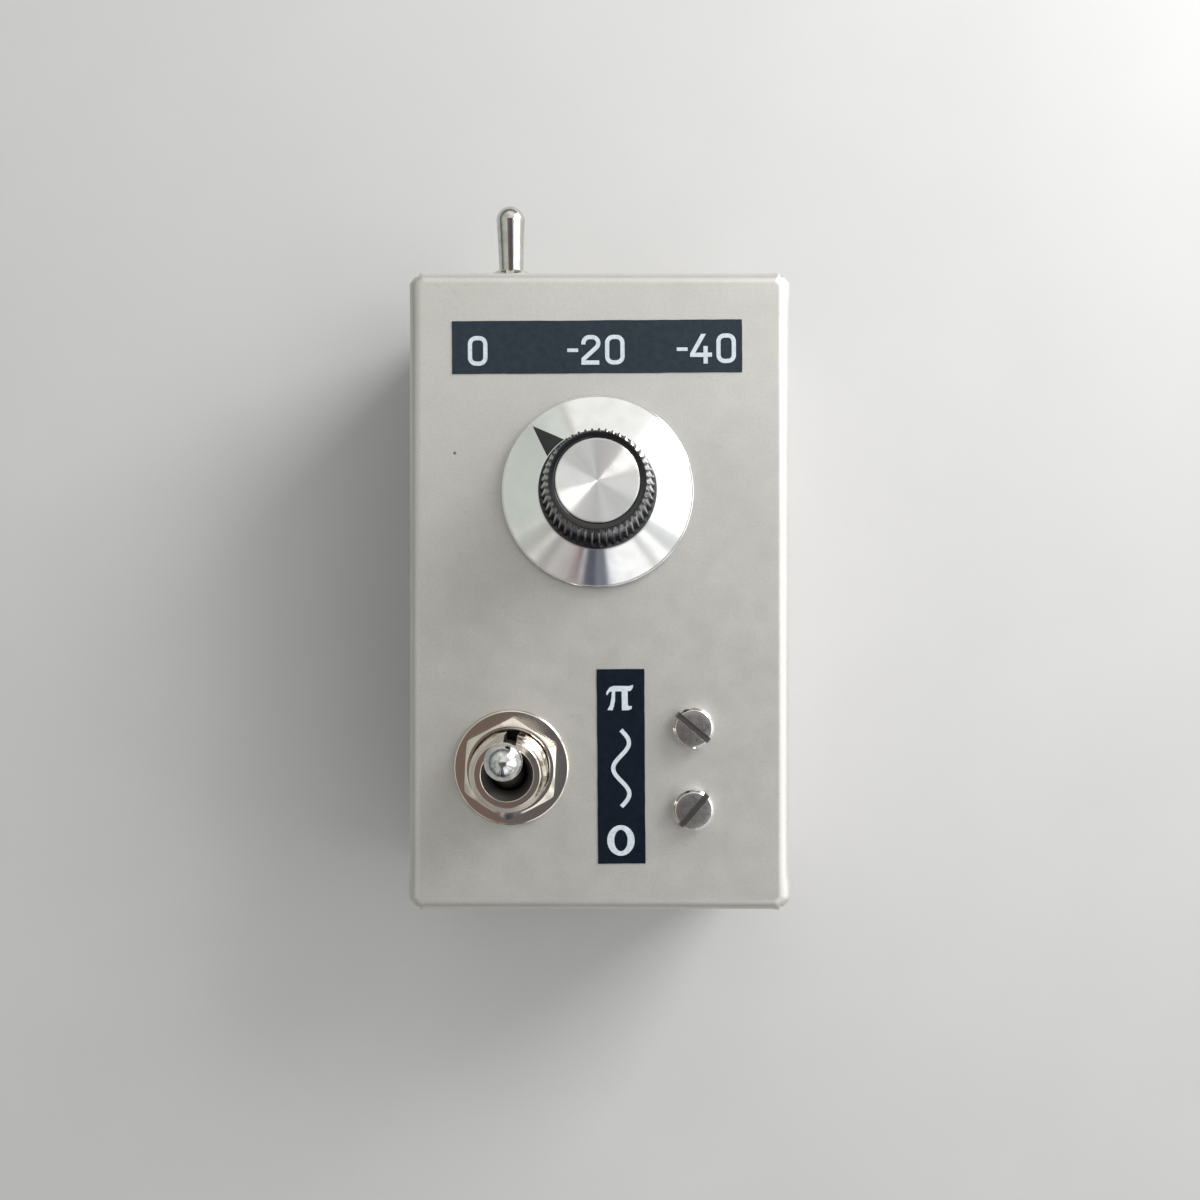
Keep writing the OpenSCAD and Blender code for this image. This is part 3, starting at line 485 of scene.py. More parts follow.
def eased(points, radius, loop=False):
    """A profile with each of its corners rounded off."""
    steps = 3
    out = []
    count = len(points)
    for i, point in enumerate(points):
        if not loop and i in (0, count - 1):
            out.append(point)
            continue
        here = Vector(point)
        arms = [Vector(points[i - 1]) - here, Vector(points[(i + 1) % count]) - here]
        ends = [here + arm.normalized() * min(radius, arm.length * 0.45) for arm in arms]
        for k in range(steps + 1):
            t = k / steps
            mixed = ends[0] * (1 - t) ** 2 + here * 2 * t * (1 - t) + ends[1] * t ** 2
            out.append(tuple(mixed))
    return out


def arc(centre, radius, start, stop, steps=10):
    """Profile points along an arc, from one angle to another in degrees."""
    angles = [math.radians(start + (stop - start) * k / steps) for k in range(steps + 1)]
    return [(centre[0] + radius * math.cos(a), centre[1] + radius * math.sin(a)) for a in angles]


def block(low, high):
    """The box between two corners, to cut with or to build on."""
    verts = [(x, y, z) for x in (low[0], high[0]) for y in (low[1], high[1])
             for z in (low[2], high[2])]
    faces = [(0, 1, 3, 2), (4, 6, 7, 5), (0, 4, 5, 1), (2, 3, 7, 6), (0, 2, 6, 4), (1, 5, 7, 3)]
    return skin(verts, faces)


def rod(radius, low, high, steps=48):
    """A cutter or a filler: a cylinder along Z."""
    return skin(*revolve([(0, low), (radius, low), (radius, high), (0, high)], steps))


def evaluated(shown):
    """The mesh that an object's modifiers or curves come out as."""
    bpy.context.view_layer.update()
    shown = shown.evaluated_get(bpy.context.evaluated_depsgraph_get())
    return bpy.data.meshes.new_from_object(shown)


def boolean(mesh, tools, operation="DIFFERENCE", sharp=SHARP):
    """mesh with each tool cut from it or joined to it. A tool is a mesh, or a mesh and a place."""
    for tool in tools:
        tool, place = tool if isinstance(tool, tuple) else (tool, WORLD)
        pair = [new_object("work", m) for m in (mesh, tool)]
        pair[1].matrix_world = place
        step = pair[0].modifiers.new("cut", "BOOLEAN")
        step.operation, step.object, step.solver = operation, pair[1], "EXACT"
        mesh = evaluated(pair[0])
        for made in pair:
            bpy.data.objects.remove(made)
    mesh.materials.clear()
    return finish_mesh(mesh, sharp)


def joined(*meshes):
    """Several closed meshes as one."""
    work = bmesh.new()
    for mesh in meshes:
        work.from_mesh(mesh)
    made = bpy.data.meshes.new("joined")
    work.to_mesh(made)
    work.free()
    return shaded(made)


def moved(mesh, matrix):
    made = mesh.copy()
    made.transform(matrix)
    return made


def piece(name, mesh, place, cad_node, finish=None, printed=False, bevel=0.0):
    """Puts a mesh in the scene in place of a CAD node, on its body. A printed piece replaces
    nothing, and only rides with the node that it is printed on."""
    mesh.name = name
    made = new_object(name, mesh)
    made.matrix_world = place
    mesh.materials.clear()
    mesh.materials.append(finish or MATERIALS[slot_of[cad_node]])
    if bevel:
        edges = made.modifiers.new("edges", "BEVEL")
        edges.width, edges.segments, edges.limit_method = bevel * MM, 2, "ANGLE"
        edges.angle_limit = math.radians(40)
    weigh = made.modifiers.new("normals", "WEIGHTED_NORMAL")
    weigh.keep_sharp = True
    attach(made, body_of[cad_node])
    if not printed:
        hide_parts(cad_node)


# ------------------------------------------------------------------ case

SIDE_BACK = 0.35        # how far the side walls stand back from the bulges at their corners
END_BACK = 0.15         # the same for the end walls
HALF_W = CASE_W / 2 - SIDE_BACK
HALF_L = CASE_L / 2 - END_BACK
BEND = 2.1              # radius of the bends round the face
CORNER = 1.75           # size of the case's corners in plan
SEAM_IN = 1.35          # from a side wall's outside to the seam in the end wall
SEAM_W = 0.24
# how far each corner of the side walls bulges, as a share of SIDE_BACK, by its signs of x and y
BULGE = {(1, 1): 0.55, (1, -1): 0.98, (-1, 1): 0.15, (-1, -1): 0.45}
# distances from a corner at which a wall has points, closer together where it bulges
CLOSE = (0.3, 0.6, 0.9, 1.2, 1.55, 2.0, 2.6, 3.4, 4.6, 6.5, 10.0)
# radius of the shell's hole for each control and socket
CONTROL_HOLES = ((4.85, SELECTOR), (5.95, PHASE), (4.0, END), (4.75, INPUT), (4.75, OUTPUT))


def outline(half_w, half_l, radius):
    """Points round a rectangle whose corners are nearly flat cuts, with their outward normals.
    The number of points doesn't depend on the size."""
    points, steps, flatness = [], 10, 0.6
    centres = [Vector((sx * (half_w - radius), sy * (half_l - radius))) for sx, sy in CORNERS]
    for k, centre in enumerate(centres):
        first, last = heading(math.pi / 2 * k), heading(math.pi / 2 * (k + 1))
        for i in range(steps + 1):
            normal = heading(math.pi / 2 * (k + i / steps))
            chord = first.lerp(last, i / steps)
            points.append((centre + normal.lerp(chord, flatness) * radius, normal))
        start = centre + last * radius
        stop = centres[(k + 1) % 4] + last * radius
        length = (stop - start).length
        for along in (*CLOSE, *(length - d for d in reversed(CLOSE))):
            points.append((start.lerp(stop, along / length), last))
    return points


def hump(value, top, spread):
    """1 at top, and fading smoothly to 0 on both sides of it."""
    return math.exp(-((value - top) / spread) ** 2)


def swell(point, normal, below):
    """How far the folded sheet bulges out at a point of the wall: a soft swelling beside each
    corner of the long sides, and a small lip at each end of the short sides' bends."""
    from_side = CASE_W / 2 - abs(point.x)
    from_end = CASE_L / 2 - abs(point.y)
    share = BULGE[(1 if point.x > 0 else -1, 1 if point.y > 0 else -1)]
    bulge = hump(from_end, 3.0, 2.4) * math.exp(-below / 9) * normal.x ** 2
    lip = hump(from_side, 2.3, 0.5) * hump(below, 1.6, 1.4) * normal.y ** 2
    return max(SIDE_BACK * share * bulge, END_BACK * 0.95 * lip)


def case_skin():
    """The outside of the shell, bent round the face, as a closed body."""
    # each level's inset from the walls, depth below the face and share of the swelling
    levels = []
    for k in range(9):
        angle = math.pi / 2 * k / 8
        levels.append((BEND * (1 - math.sin(angle)), BEND * (1 - math.cos(angle)), math.sin(angle)))
    for below in (2.6, 3.2, 4.0, 5.2, 7, 10, 14, 20, FACE - CASE_LOW - 0.12):
        levels.append((0.0, below, 1.0))
    levels.append((0.12, FACE - CASE_LOW, 1.0))
    rings = []
    for inset, below, share in levels:
        ring = []
        corner = max(CORNER - inset * 0.6, 0.4)
        for point, normal in outline(HALF_W - inset, HALF_L - inset, corner):
            out = point + normal * swell(point, normal, below) * share
            ring.append((out.x, out.y, FACE - below))
        rings.append(ring)
    return stacked(rings)


def plate(half_w, half_l, radius, low, high):
    """A flat slab with a rounded outline."""
    ring = [point for point, _ in outline(half_w, half_l, radius)]
    return stacked([[(p.x, p.y, z) for p in ring] for z in (low, high)])


def case_holes():
    """Cutters for the controls, the sockets and the two board screws."""
    holes = [(rod(radius, -3, 1), place) for radius, place in CONTROL_HOLES]
    head_r = 3.25       # of a board screw in the CAD
    low_y, high_y = span("board_screws", 1)
    for y in (low_y + head_r, high_y - head_r):
        holes.append((rod(1.7, -3, 1), on_face(middle("board_screws").x, y * MM)))
    return holes


def corner_cuts():
    """Cutters for the seams of the end walls, which are tucked between the side walls, and for
    the small relief notch at the top of each seam, just below the face."""
    notches, seams = [], []
    for sx, sy in CORNERS:
        x, y = sx * (HALF_W - SEAM_IN), sy * HALF_L
        seams.append(block((x - SEAM_W / 2, y - 0.6, 0), (x + SEAM_W / 2, y + 0.6, FACE - 2)))
        notch = moved(rod(0.3, -2.6, 1.5, 20), Matrix.Rotation(sy * math.radians(20), 4, "X"))
        notches.append((notch, offset(x, y - sy * 0.55, FACE - 1.0)))
    return notches, seams


def cover_screw_places():
    """Half the distance between the cover's screws, along X and Y."""
    low_x, high_x = span("cover_screws", 0)
    low_y, high_y = span("cover_screws", 1)
    head_r = 2.35       # of a cover screw in the CAD
    return (high_x - low_x) / 2 - head_r, (high_y - low_y) / 2 - head_r


def case_tabs():
    """The inward tabs at the shell's open side, each tapped for one of the cover's screws."""
    screw_x, screw_y = cover_screw_places()
    tabs = []
    start_x, start_y = CASE_W / 2 * 0.62, CASE_L / 2 * 0.78
    stop_x, stop_y = HALF_W - SHEET + 0.3, HALF_L - SHEET + 0.3     # a little into the walls
    for sx, sy in CORNERS:
        tab = block((sx * start_x, sy * start_y, CASE_LOW),
                    (sx * stop_x, sy * stop_y, CASE_LOW + SHEET))
        tabs.append(boolean(tab, [(rod(1.25, -1, 9, 32), offset(sx * screw_x, sy * screw_y, 0))]))
    return tabs


def build_case():
    inner = plate(HALF_W - SHEET, HALF_L - SHEET, 0.5, CASE_LOW - 1, FACE - SHEET)
    notches, seams = corner_cuts()
    shell = boolean(case_skin(), [*notches, inner, *case_holes(), *seams])
    piece("case_shell_detailed", boolean(shell, case_tabs(), "UNION"), WORLD, "case_shell")


def cover_screw():
    """A countersunk screw, head down, before its slot is cut."""
    profile = [(0, 0.02), (2.3, 0.02), (2.3, 0.1), (1.2, 1.2), (1.2, 5.6), (0.8, 6), (0, 6)]
    return skin(*revolve(eased(profile, 0.05), 64))


def build_cover():
    screw_x, screw_y = cover_screw_places()
    rings = []
    for inset, z in ((0.18, 0.0), (0.05, 0.05), (0.0, 0.18), (0.0, SHEET - 0.18),
                     (0.05, SHEET - 0.05), (0.18, SHEET)):
        rings.append([(p.x, p.y, z) for p, _ in outline(HALF_W - inset, HALF_L - inset, CORNER)])
    sink = skin(*revolve([(0, -0.5), (2.9, -0.5), (1.25, 1.15), (1.25, 3), (0, 3)], 48))
    slot = block((-3, -0.35, -1), (3, 0.35, 0.7))
    blank = cover_screw()
    holes, screws = [], []
    for k, (sx, sy) in enumerate(CORNERS):
        place = offset(sx * screw_x, sy * screw_y, 0)
        holes.append((sink, place))
        turned = moved(slot, Matrix.Rotation(0.7 + 1.9 * k, 4, "Z"))
        screws.append(moved(boolean(blank, [turned]), place))
    piece("base_cover_detailed", boolean(stacked(rings), holes), WORLD, "base_cover")
    piece("cover_screws_detailed", joined(*screws), WORLD, "cover_screws")


# ------------------------------------------------------------------ labels


def ragged(points, step, amount, seed):
    """An outline with extra points along its sides, each shifted a little, as scissors leave."""
    rng = random.Random(seed)
    out = []
    for k, start in enumerate(points):
        stop = points[(k + 1) % len(points)]
        side = Vector(stop) - Vector(start)
        across = Vector((side.y, -side.x)).normalized()
        count = max(2, round(side.length / step))
        drift = 0.0
        for i in range(count):
            drift = 0.75 * drift + rng.uniform(-amount, amount)
            shift = across * (drift if i else 0)
            out.append(Vector(start) + side * i / count + shift)
    return out


def slab(points, low, high):
    """A thin flat body with the given outline and a softened top edge."""
    edge = 0.03
    centre = sum(points, Vector((0, 0))) / len(points)
    rings = []
    for inset, z in ((0, low), (0, high - edge), (edge * 0.4, high - edge * 0.3), (edge, high)):
        shrunk = [p + (centre - p).normalized() * inset for p in points]
        rings.append([(p.x, p.y, z) for p in shrunk])
    return stacked(rings)


def ink_body(loops, low, high):
    """Flat print: 2D loops, where a loop inside another is a hole."""
    curve = bpy.data.curves.new("ink", "CURVE")
    curve.dimensions, curve.fill_mode = "2D", "BOTH"
    for points in loops:
        spline = curve.splines.new("POLY")
        spline.points.add(len(points) - 1)
        for target, p in zip(spline.points, points):
            target.co = (p[0] * MM, p[1] * MM, 0, 1)
        spline.use_cyclic_u = True
    curve.extrude = (high - low) / 2 * MM
    made = new_object("ink", curve)
    mesh = evaluated(made)
    bpy.data.objects.remove(made)
    return finish_mesh(moved(mesh, offset(0, 0, (low + high) / 2)))


def stroke(points, width, closed=False):
    """The outline of a pen stroke of that width along a line, or the two of a closed line."""
    points = [Vector(p) for p in points]
    count = len(points)
    sides = ([], [])
    for i, p in enumerate(points):
        before = points[(i - 1) % count] if closed or i else p
        after = points[(i + 1) % count] if closed or i < count - 1 else p
        first, second = (p - before), (after - p)
        first = first.normalized() if first.length else second.normalized()
        second = second.normalized() if second.length else first
        along = (first + second).normalized()
        across = Vector((-along.y, along.x)) / max(along.dot(first), 0.5)
        for side, sign in zip(sides, (1, -1)):
            side.append(p + across * width / 2 * sign)
    if closed:
        return list(sides)
    return [sides[0] + sides[1][::-1]]


FIGURE_H = 4.65         # height of the scale's figures
PEN = 0.66              # width of a drawn line
ROUND = 0.95            # radius of the figures' round corners


def figure_zero(x, y):
    in_x, in_y = 1.2 - ROUND, (FIGURE_H - PEN) / 2 - ROUND
    line = []
    for k, (sx, sy) in enumerate(CORNERS):
        line += arc((x + sx * in_x, y + sy * in_y), ROUND, 90 * k, 90 * k + 90, 7)
    return stroke(line, PEN, closed=True)


def figure_two(x, y):
    half_h = (FIGURE_H - PEN) / 2
    line = [(x - 1.17, y + half_h - 1.15)]
    line += arc((x - 0.22, y + half_h - ROUND), ROUND, 180, 90, 7)
    line += arc((x + 0.22, y + half_h - ROUND), ROUND, 90, -10, 8)
    line += [(x + 0.95, y + 0.45), (x - 1.15, y - half_h + 0.55), (x - 1.17, y - half_h),
             (x + 1.3, y - half_h)]
    return stroke(line, PEN)


def figure_four(x, y):
    points = [(0.05, 2.33), (0.80, 2.33), (-0.90, -0.62), (0.39, -0.62), (0.39, 0.42),
              (1.05, 0.42), (1.05, -0.62), (1.72, -0.62), (1.72, -1.28), (1.05, -1.28),
              (1.05, -2.33), (0.39, -2.33), (0.39, -1.28), (-1.70, -1.28), (-1.70, -0.72)]
    return [[Vector((x + px, y + py)) for px, py in points]]


def figure_minus(x, y):
    return stroke([(x - 0.85, y), (x + 0.85, y)], 0.55)


def wave_mark(y, length, height):
    """One and a half waves along Y."""
    steps = 48
    line = [(height / 2 * math.sin(TURN * 1.5 * k / steps), y + length * (k / steps - 0.5))
            for k in range(steps + 1)]
    return stroke(line, PEN)


def oval_zero(x, y):
    """A broad zero, thick at its sides."""
    rounds = [heading(TURN * k / 48) for k in range(48)]
    return [[Vector((x + half_w * p.x, y + half_h * p.y)) for p in rounds]
            for half_w, half_h in ((2.15, 2.4), (1.05, 1.68))]


def pi_sign(x, y):
    points = [(-2.04, 0.50), (-1.93, 1.05), (-1.45, 1.66), (-0.86, 1.88), (1.60, 1.84),
              (2.20, 2.02), (2.14, 1.52), (1.80, 1.08), (1.34, 1.02), (1.36, -1.10),
              (1.55, -1.30), (2.00, -1.30), (1.96, -1.72), (1.45, -1.95), (0.42, -1.95),
              (0.40, 1.02), (-0.62, 1.02), (-0.64, -0.40), (-0.82, -1.35), (-1.05, -1.95),
              (-1.85, -1.90), (-1.42, -1.10), (-1.20, 0.00), (-1.14, 1.02), (-1.52, 0.95),
              (-1.80, 0.47)]
    return [[Vector((x + px, y + py)) for px, py in points]]


def build_label(name, half_w, half_l, seed, prints, marks):
    """A label film, cut by hand and a little askew, with its marks printed on it."""
    centre = middle(name)
    place = on_face(centre.x, centre.y, math.radians(0.4))
    low, high = span(name, 2)
    top = high - low
    cut = ragged([(-half_w, -half_l), (half_w, -half_l), (half_w, half_l), (-half_w, half_l)],
                 step=0.9, amount=0.022, seed=seed)
    piece(name + "_film", slab(cut, 0.0, top), place, name)
    bodies = [ink_body(loops, top, top + 0.02) for loops in marks]
    piece(prints, joined(*bodies), place, name, finish=LABEL_INK, printed=True)


def build_labels():
    figures = [figure_zero(-18.7, -0.55), figure_minus(-3.8, -0.55), figure_two(-0.95, -0.5),
               figure_zero(2.8, -0.5), figure_minus(13.35, -0.5), figure_four(16.3, -0.45),
               figure_zero(20.25, -0.4)]
    build_label("scale_label", 22.74, 4.13, 3, "scale_figures", figures)
    signs = [pi_sign(-0.25, 10.75), wave_mark(-0.3, 12.0, 2.5), oval_zero(-0.12, -11.6)]
    build_label("phase_label", 3.73, 15.25, 8, "phase_marks", signs)


# ------------------------------------------------------------------ knob

FLUTES = 47
FLUTE_DEPTH = 0.62
POINTER = math.radians(135)     # where the pointer and the set screw are at rest
KNOB_BORE = 6.9                 # round the brass insert
CONE_TOP = (9.35, 3.5)          # the skirt's slope, as radius and height
CONE_FOOT = (14.68, 1.46)


def height_of(name, place):
    """The highest point of a CAD node above its control's panel, in millimetres."""
    back = place.inverted()
    return max((back @ v.co).z for v in frame["nodes"][name].data.vertices) / MM


def fluted(radius, height, limit=100.0, depth=FLUTE_DEPTH):
    """A row of the grip, cut by flutes, and by a cone of radius limit."""
    def row(angle):
        groove = abs(math.cos(FLUTES / 2 * angle)) ** 1.8
        return min(radius - depth * groove, limit), height
    return row


def build_grip(top):
    """The grip: a smooth foot, a fluted cone, a chamfer, and a recess for the cap."""
    base_r, base_z, grip_z = 9.12, 3.62, 4.1
    foot_r, shoulder_r, rim_r = 8.82, 7.62, 7.04
    shoulder_z = top - 0.8
    recess_r, recess_z = 6.16, top - 0.72
    rows = [(KNOB_BORE, base_z + 1.6), (KNOB_BORE, base_z), (base_r - 0.12, base_z),
            (base_r, base_z + 0.14), (base_r, grip_z - 0.16), (base_r - 0.05, grip_z - 0.05),
            (base_r - 0.18, grip_z), (foot_r + 0.08, grip_z + 0.02),
            fluted(foot_r, grip_z + 0.12, depth=0.3)]
    for k in range(8):
        share = (k + 0.4) / 7.4
        rows.append(fluted(foot_r + (shoulder_r - foot_r) * share,
                           grip_z + (shoulder_z - grip_z) * share))
    # the flutes run out through the chamfer
    for share in (0.04, 0.2, 0.4, 0.6, 0.8, 0.94):
        rows.append(fluted(shoulder_r - 0.3 * share, shoulder_z + (top - shoulder_z) * share,
                           shoulder_r + (rim_r - shoulder_r) * share))
    rows += [(rim_r - 0.02, top), (recess_r + 0.16, top), (recess_r + 0.06, top - 0.05),
             (recess_r, top - 0.14), (recess_r, recess_z), (5.2, recess_z), (5.2, top - 1.4),
             (5.2, base_z + 1.7), (KNOB_BORE, base_z + 1.7)]
    grip = skin(*revolve(rows, FLUTES * 8, loop=True), sharp=40)
    sideways = Matrix.Rotation(math.pi / 2, 4, "Y")
    turn = Matrix.Rotation(POINTER, 4, "Z")
    set_screw_hole = moved(rod(1.7, 4, 12, 32), turn @ offset(0, 0, 9) @ sideways)
    piece("knob_grip", boolean(grip, [set_screw_hole], sharp=40), SELECTOR, "knob_body")


def build_skirt():
    """The spun skirt: a thin cone with a turned-down edge."""
    edge = 14.98
    profile = [(KNOB_BORE, 3.06), (9.1, 3.06), (14.1, 1.16), (14.38, 0.5), (edge, 0.5),
               (edge, 1.38), (edge - 0.12, 1.48), CONE_FOOT, CONE_TOP, (9.1, 3.56),
               (KNOB_BORE, 3.56)]
    skirt = skin(*revolve(eased(profile, 0.06, loop=True), 256, loop=True))
    piece("knob_skirt_spun", skirt, SELECTOR, "knob_skirt")


def build_pointer():
    """The triangle printed on the skirt, lying on its cone."""
    inner, outer, half = 9.3, 14.3, 1.82
    slope = (CONE_FOOT[1] - CONE_TOP[1]) / (CONE_FOOT[0] - CONE_TOP[0])
    rows, columns = 25, 9
    verts, faces = [], []
    for lift in (0.004, 0.022):
        for i in range(rows):
            share = i / (rows - 1)
            width = max(half * (1 - share), 0.02)
            radius = inner + (outer - inner) * share
            for k in range(columns):
                across = width * (2 * k / (columns - 1) - 1)
                along = math.sqrt(radius ** 2 - across ** 2)
                x = along * math.cos(POINTER) - across * math.sin(POINTER)
                y = along * math.sin(POINTER) + across * math.cos(POINTER)
                verts.append((x, y, CONE_TOP[1] + (radius - CONE_TOP[0]) * slope + lift))
    count = rows * columns
    for i in range(rows - 1):
        for k in range(columns - 1):
            a = columns * i + k
            b = a + columns
            faces += [(a, a + 1, b + 1, b), (count + a, count + b, count + b + 1, count + a + 1)]
    rim = [*range(columns)]
    rim += [columns * i + columns - 1 for i in range(1, rows)]
    rim += [columns * (rows - 1) + k for k in range(columns - 2, -1, -1)]
    rim += [columns * i for i in range(rows - 2, 0, -1)]
    faces += [(a, b, count + b, count + a) for a, b in zip(rim, rim[1:] + rim[:1])]
    piece("knob_pointer", skin(verts, faces), SELECTOR, "knob_skirt", finish=POINTER_INK,
          printed=True)


def build_cap(top):
    """The spun disc let into the grip's top, dished a little towards its middle."""
    rows = [(0, top - 0.7), (6.08, top - 0.7), (6.08, top - 0.06), (5.98, top + 0.04),
            (5.86, top + 0.055)]
    rows += [(5.7 - 0.3 * k, top + 0.05 - 0.008 * k) for k in range(19)]
    rows += [(0.14, top - 0.12), (0, top - 0.16)]
    piece("knob_cap_spun", skin(*revolve(rows, 192)), SELECTOR, "knob_cap", finish=CAP_FINISH)


def build_knob():
    top = height_of("knob_body", SELECTOR)
    build_grip(top)
    build_skirt()
    build_pointer()
    build_cap(top)


# ------------------------------------------------------------------ threaded parts

KEYWAY = 1.35           # depth of the slot down a full-size toggle's bushing


def hexagon(across, angle, turn):
    """Radius of a hexagon with slightly rounded corners, at an angle."""
    sharpness = 46      # a higher number rounds the corners less
    total = sum(abs(math.cos(angle - turn - math.pi / 3 * k)) ** sharpness for k in range(3))
    return across / 2 / total ** (1 / sharpness)


def hex_nut(across, bore, low, high, turn):
    """A hexagon nut whose two faces are chamfered to a circle."""
    face_r = across / 2 * 0.965

    def corner(share, top):
        def row(angle):
            rim = hexagon(across, angle, turn)
            radius = face_r + (rim - face_r) * share
            drop = (radius - face_r) * math.tan(math.radians(28))
            return radius, (high - drop if top else low + drop)
        return row

    def flank(angle):
        return hexagon(across, angle, turn), (low + high) / 2

    rows = [(bore, low + 0.3), (bore + 0.25, low), (face_r - 0.1, low), (face_r, low + 0.01)]
    rows += [corner(share, False) for share in (0.35, 0.7, 0.96)] + [flank]
    rows += [corner(share, True) for share in (0.96, 0.7, 0.35)]
    rows += [(face_r, high - 0.01), (face_r - 0.1, high), (bore + 0.3, high), (bore, high - 0.3)]
    return skin(*revolve(rows, 240, loop=True))


def washer(outer, bore, low, high):
    """A stamped washer: one edge is rolled over, the other is crisp."""
    roll = (high - low) / 2
    profile = [(bore, low), (outer, low), (outer, high - roll)]
    profile += arc((outer - roll, high - roll), roll, 15, 90, 6)
    profile += [(bore + 0.12, high), (bore, high - 0.12)]
    return skin(*revolve(profile, 160, loop=True))


def threaded(inside, outside, radius, start, stop, pitch, depth):
    """A body turned from the profile inside, then a screw thread between two heights, then the
    profile outside."""
    rows = []
    count = round((stop - start) / pitch * 8)       # 8 rows to each turn of the thread
    for i in range(count + 1):
        height = start + (stop - start) * i / count
        ends = min(1.0, (height - start) / pitch, (stop - height) / pitch)

        def row(angle, height=height, ends=ends):
            phase = (height / pitch - angle / TURN) % 1.0
            tooth = abs(2 * phase - 1)
            groove = min(max((tooth - 0.12) / 0.76, 0.0), 1.0)
            return radius - depth * groove * ends, height
        rows.append(row)
    return skin(*revolve([*inside, *rows, *outside], 96, loop=True), sharp=45)


def toggle_bushing(radius, top, pivot, mouth, neck, seat, flange, slot_w, scale):
    """The bushing that a toggle's lever swings in, with its threads and keyway. neck is where
    its bore is narrowest, above the seat that the lever's ball turns in."""
    foot = -3.5         # the flange's upper side, under the panel
    rise = math.sqrt(seat ** 2 - neck ** 2)
    socket = arc((0, pivot), seat, 0, math.degrees(math.atan2(rise, neck)), 6)
    inside = [*reversed(socket), (seat, pivot - 1), (seat + 0.5 * scale, foot - scale),
              (flange, foot - scale), (flange, foot), (radius, foot)]
    # the chamfer above the thread: how far each point is in from the thread and below the top
    chamfer = ((0.05, 1.45), (0.25, 1.25), (0.75, 0.32), (0.86, 0.06), (0.95, 0.0), (1.03, 0.0))
    outside = [(radius - inward * scale, top - below * scale) for inward, below in chamfer]
    outside += [(mouth + 0.18 * scale, top), (mouth + 0.1 * scale, top),
                (mouth, top - 0.08 * scale), (mouth - 0.1, top - 0.8 * scale),
                (neck + 0.05, pivot + rise + 0.2)]
    body = threaded(inside, outside, radius, foot + 0.1, top - 1.6 * scale, 0.8 * scale,
                    0.32 * scale)
    keyway = block((-slot_w / 2, radius - KEYWAY * scale, -SHEET),
                   (slot_w / 2, radius + 2, top + 3))
    return boolean(body, [keyway], sharp=45)


def toggle_lever(ball, shank, tip, end, tail, waist):
    """A bat lever standing upright on its pivot, with the ball that it swings on. end and tail
    are how far it reaches above and below the pivot; the rest are radii."""
    stem = shank * 0.88
    rise = math.sqrt(ball ** 2 - shank ** 2)
    fall = math.sqrt(ball ** 2 - stem ** 2)
    bore = stem * 0.66
    profile = [(0, -ball - 0.3), (bore, -ball - 0.3), (bore, -tail + 0.1), (bore + 0.08, -tail),
               (stem - 0.08, -tail), (stem, -tail + 0.08), (stem, -fall - 0.05)]
    profile += arc((0, 0), ball, math.degrees(math.atan2(-fall, stem)),
                   math.degrees(math.atan2(rise, shank)), 22)
    profile += [(shank, rise + 0.35)]
    # the bat swells gently from its waist to the tip
    start, stop = rise + 0.7, end - tip * 1.05
    for k in range(13):
        share = k / 12
        ease = share ** 1.55
        profile.append((waist + (tip * 0.985 - waist) * ease, start + (stop - start) * share))
    profile += [*arc((0, end - tip), tip, 4, 86, 14), (0, end)]
    return skin(*revolve(profile, 96), sharp=50)


def place_bat(toggle, bat, place, pivot, finish):
    """Leans a toggle's lever half its throw towards the control's +Y, which is how it rests."""
    half_throw = math.radians(joints[toggle + "_throw"]["range_deg"][1] / 2)
    leaned = moved(bat, Matrix.Rotation(-half_throw, 4, "X"))
    piece(toggle + "_bat", leaned, place @ offset(0, 0, pivot), toggle + "_lever", finish=finish)


def build_phase_toggle():
    pivot = phase_pivot / MM - FACE
    top = height_of("phase_bushing", PHASE)
    thread_r, slot_w = 5.88, 1.9
    bushing = toggle_bushing(thread_r, top, pivot, mouth=3.9, neck=2.75, seat=3.4, flange=7.05,
                             slot_w=slot_w, scale=1.0)
    # Painted shade in the bushing: its bore wall is painted grey, its throat dark with grease and painted shade,
    # and its keyway's walls dark as painted shade.
    nickel_mouth = metal("phase_bushing_nickel", *NICKEL, tint=(0.56, 0.46, 0.38),
                         over=[(inside_bore(3.84), BORE_SHADE, 0.4),
                               (inside_bore(2.7, 0.9), GREASE_AND_SHADE, 0.4),
                               (in_keyway(slot_w / 2, thread_r - KEYWAY), GREASE_AND_SHADE, 0.5)])
    piece("phase_bushing_threaded", bushing, PHASE, "phase_bushing", finish=nickel_mouth)
    nut = hex_nut(across=13.95, bore=5.95, low=0.82, high=2.98, turn=math.radians(2))
    piece("phase_nut_plated", nut, PHASE, "phase_nut")
    flat = washer(outer=9.08, bore=6.0, low=0.0, high=0.8)
    piece("phase_washer_plated", flat, PHASE, "phase_flat_washer")
    bat = toggle_lever(ball=3.24, shank=1.7, tip=2.74, end=18.18, tail=11.5, waist=1.72)
    # The ball and foot of the lever, down in the bushing, are painted dark: grease and painted shade.
    chrome_bat = metal("phase_bat_chrome", *CHROME, tint=(0.16, 0.155, 0.155), wear=1.0,
                       patch=1.3, over=[(near_pivot(5.0), GREASE_AND_SHADE, 0.35)])
    place_bat("phase", bat, PHASE, pivot, chrome_bat)


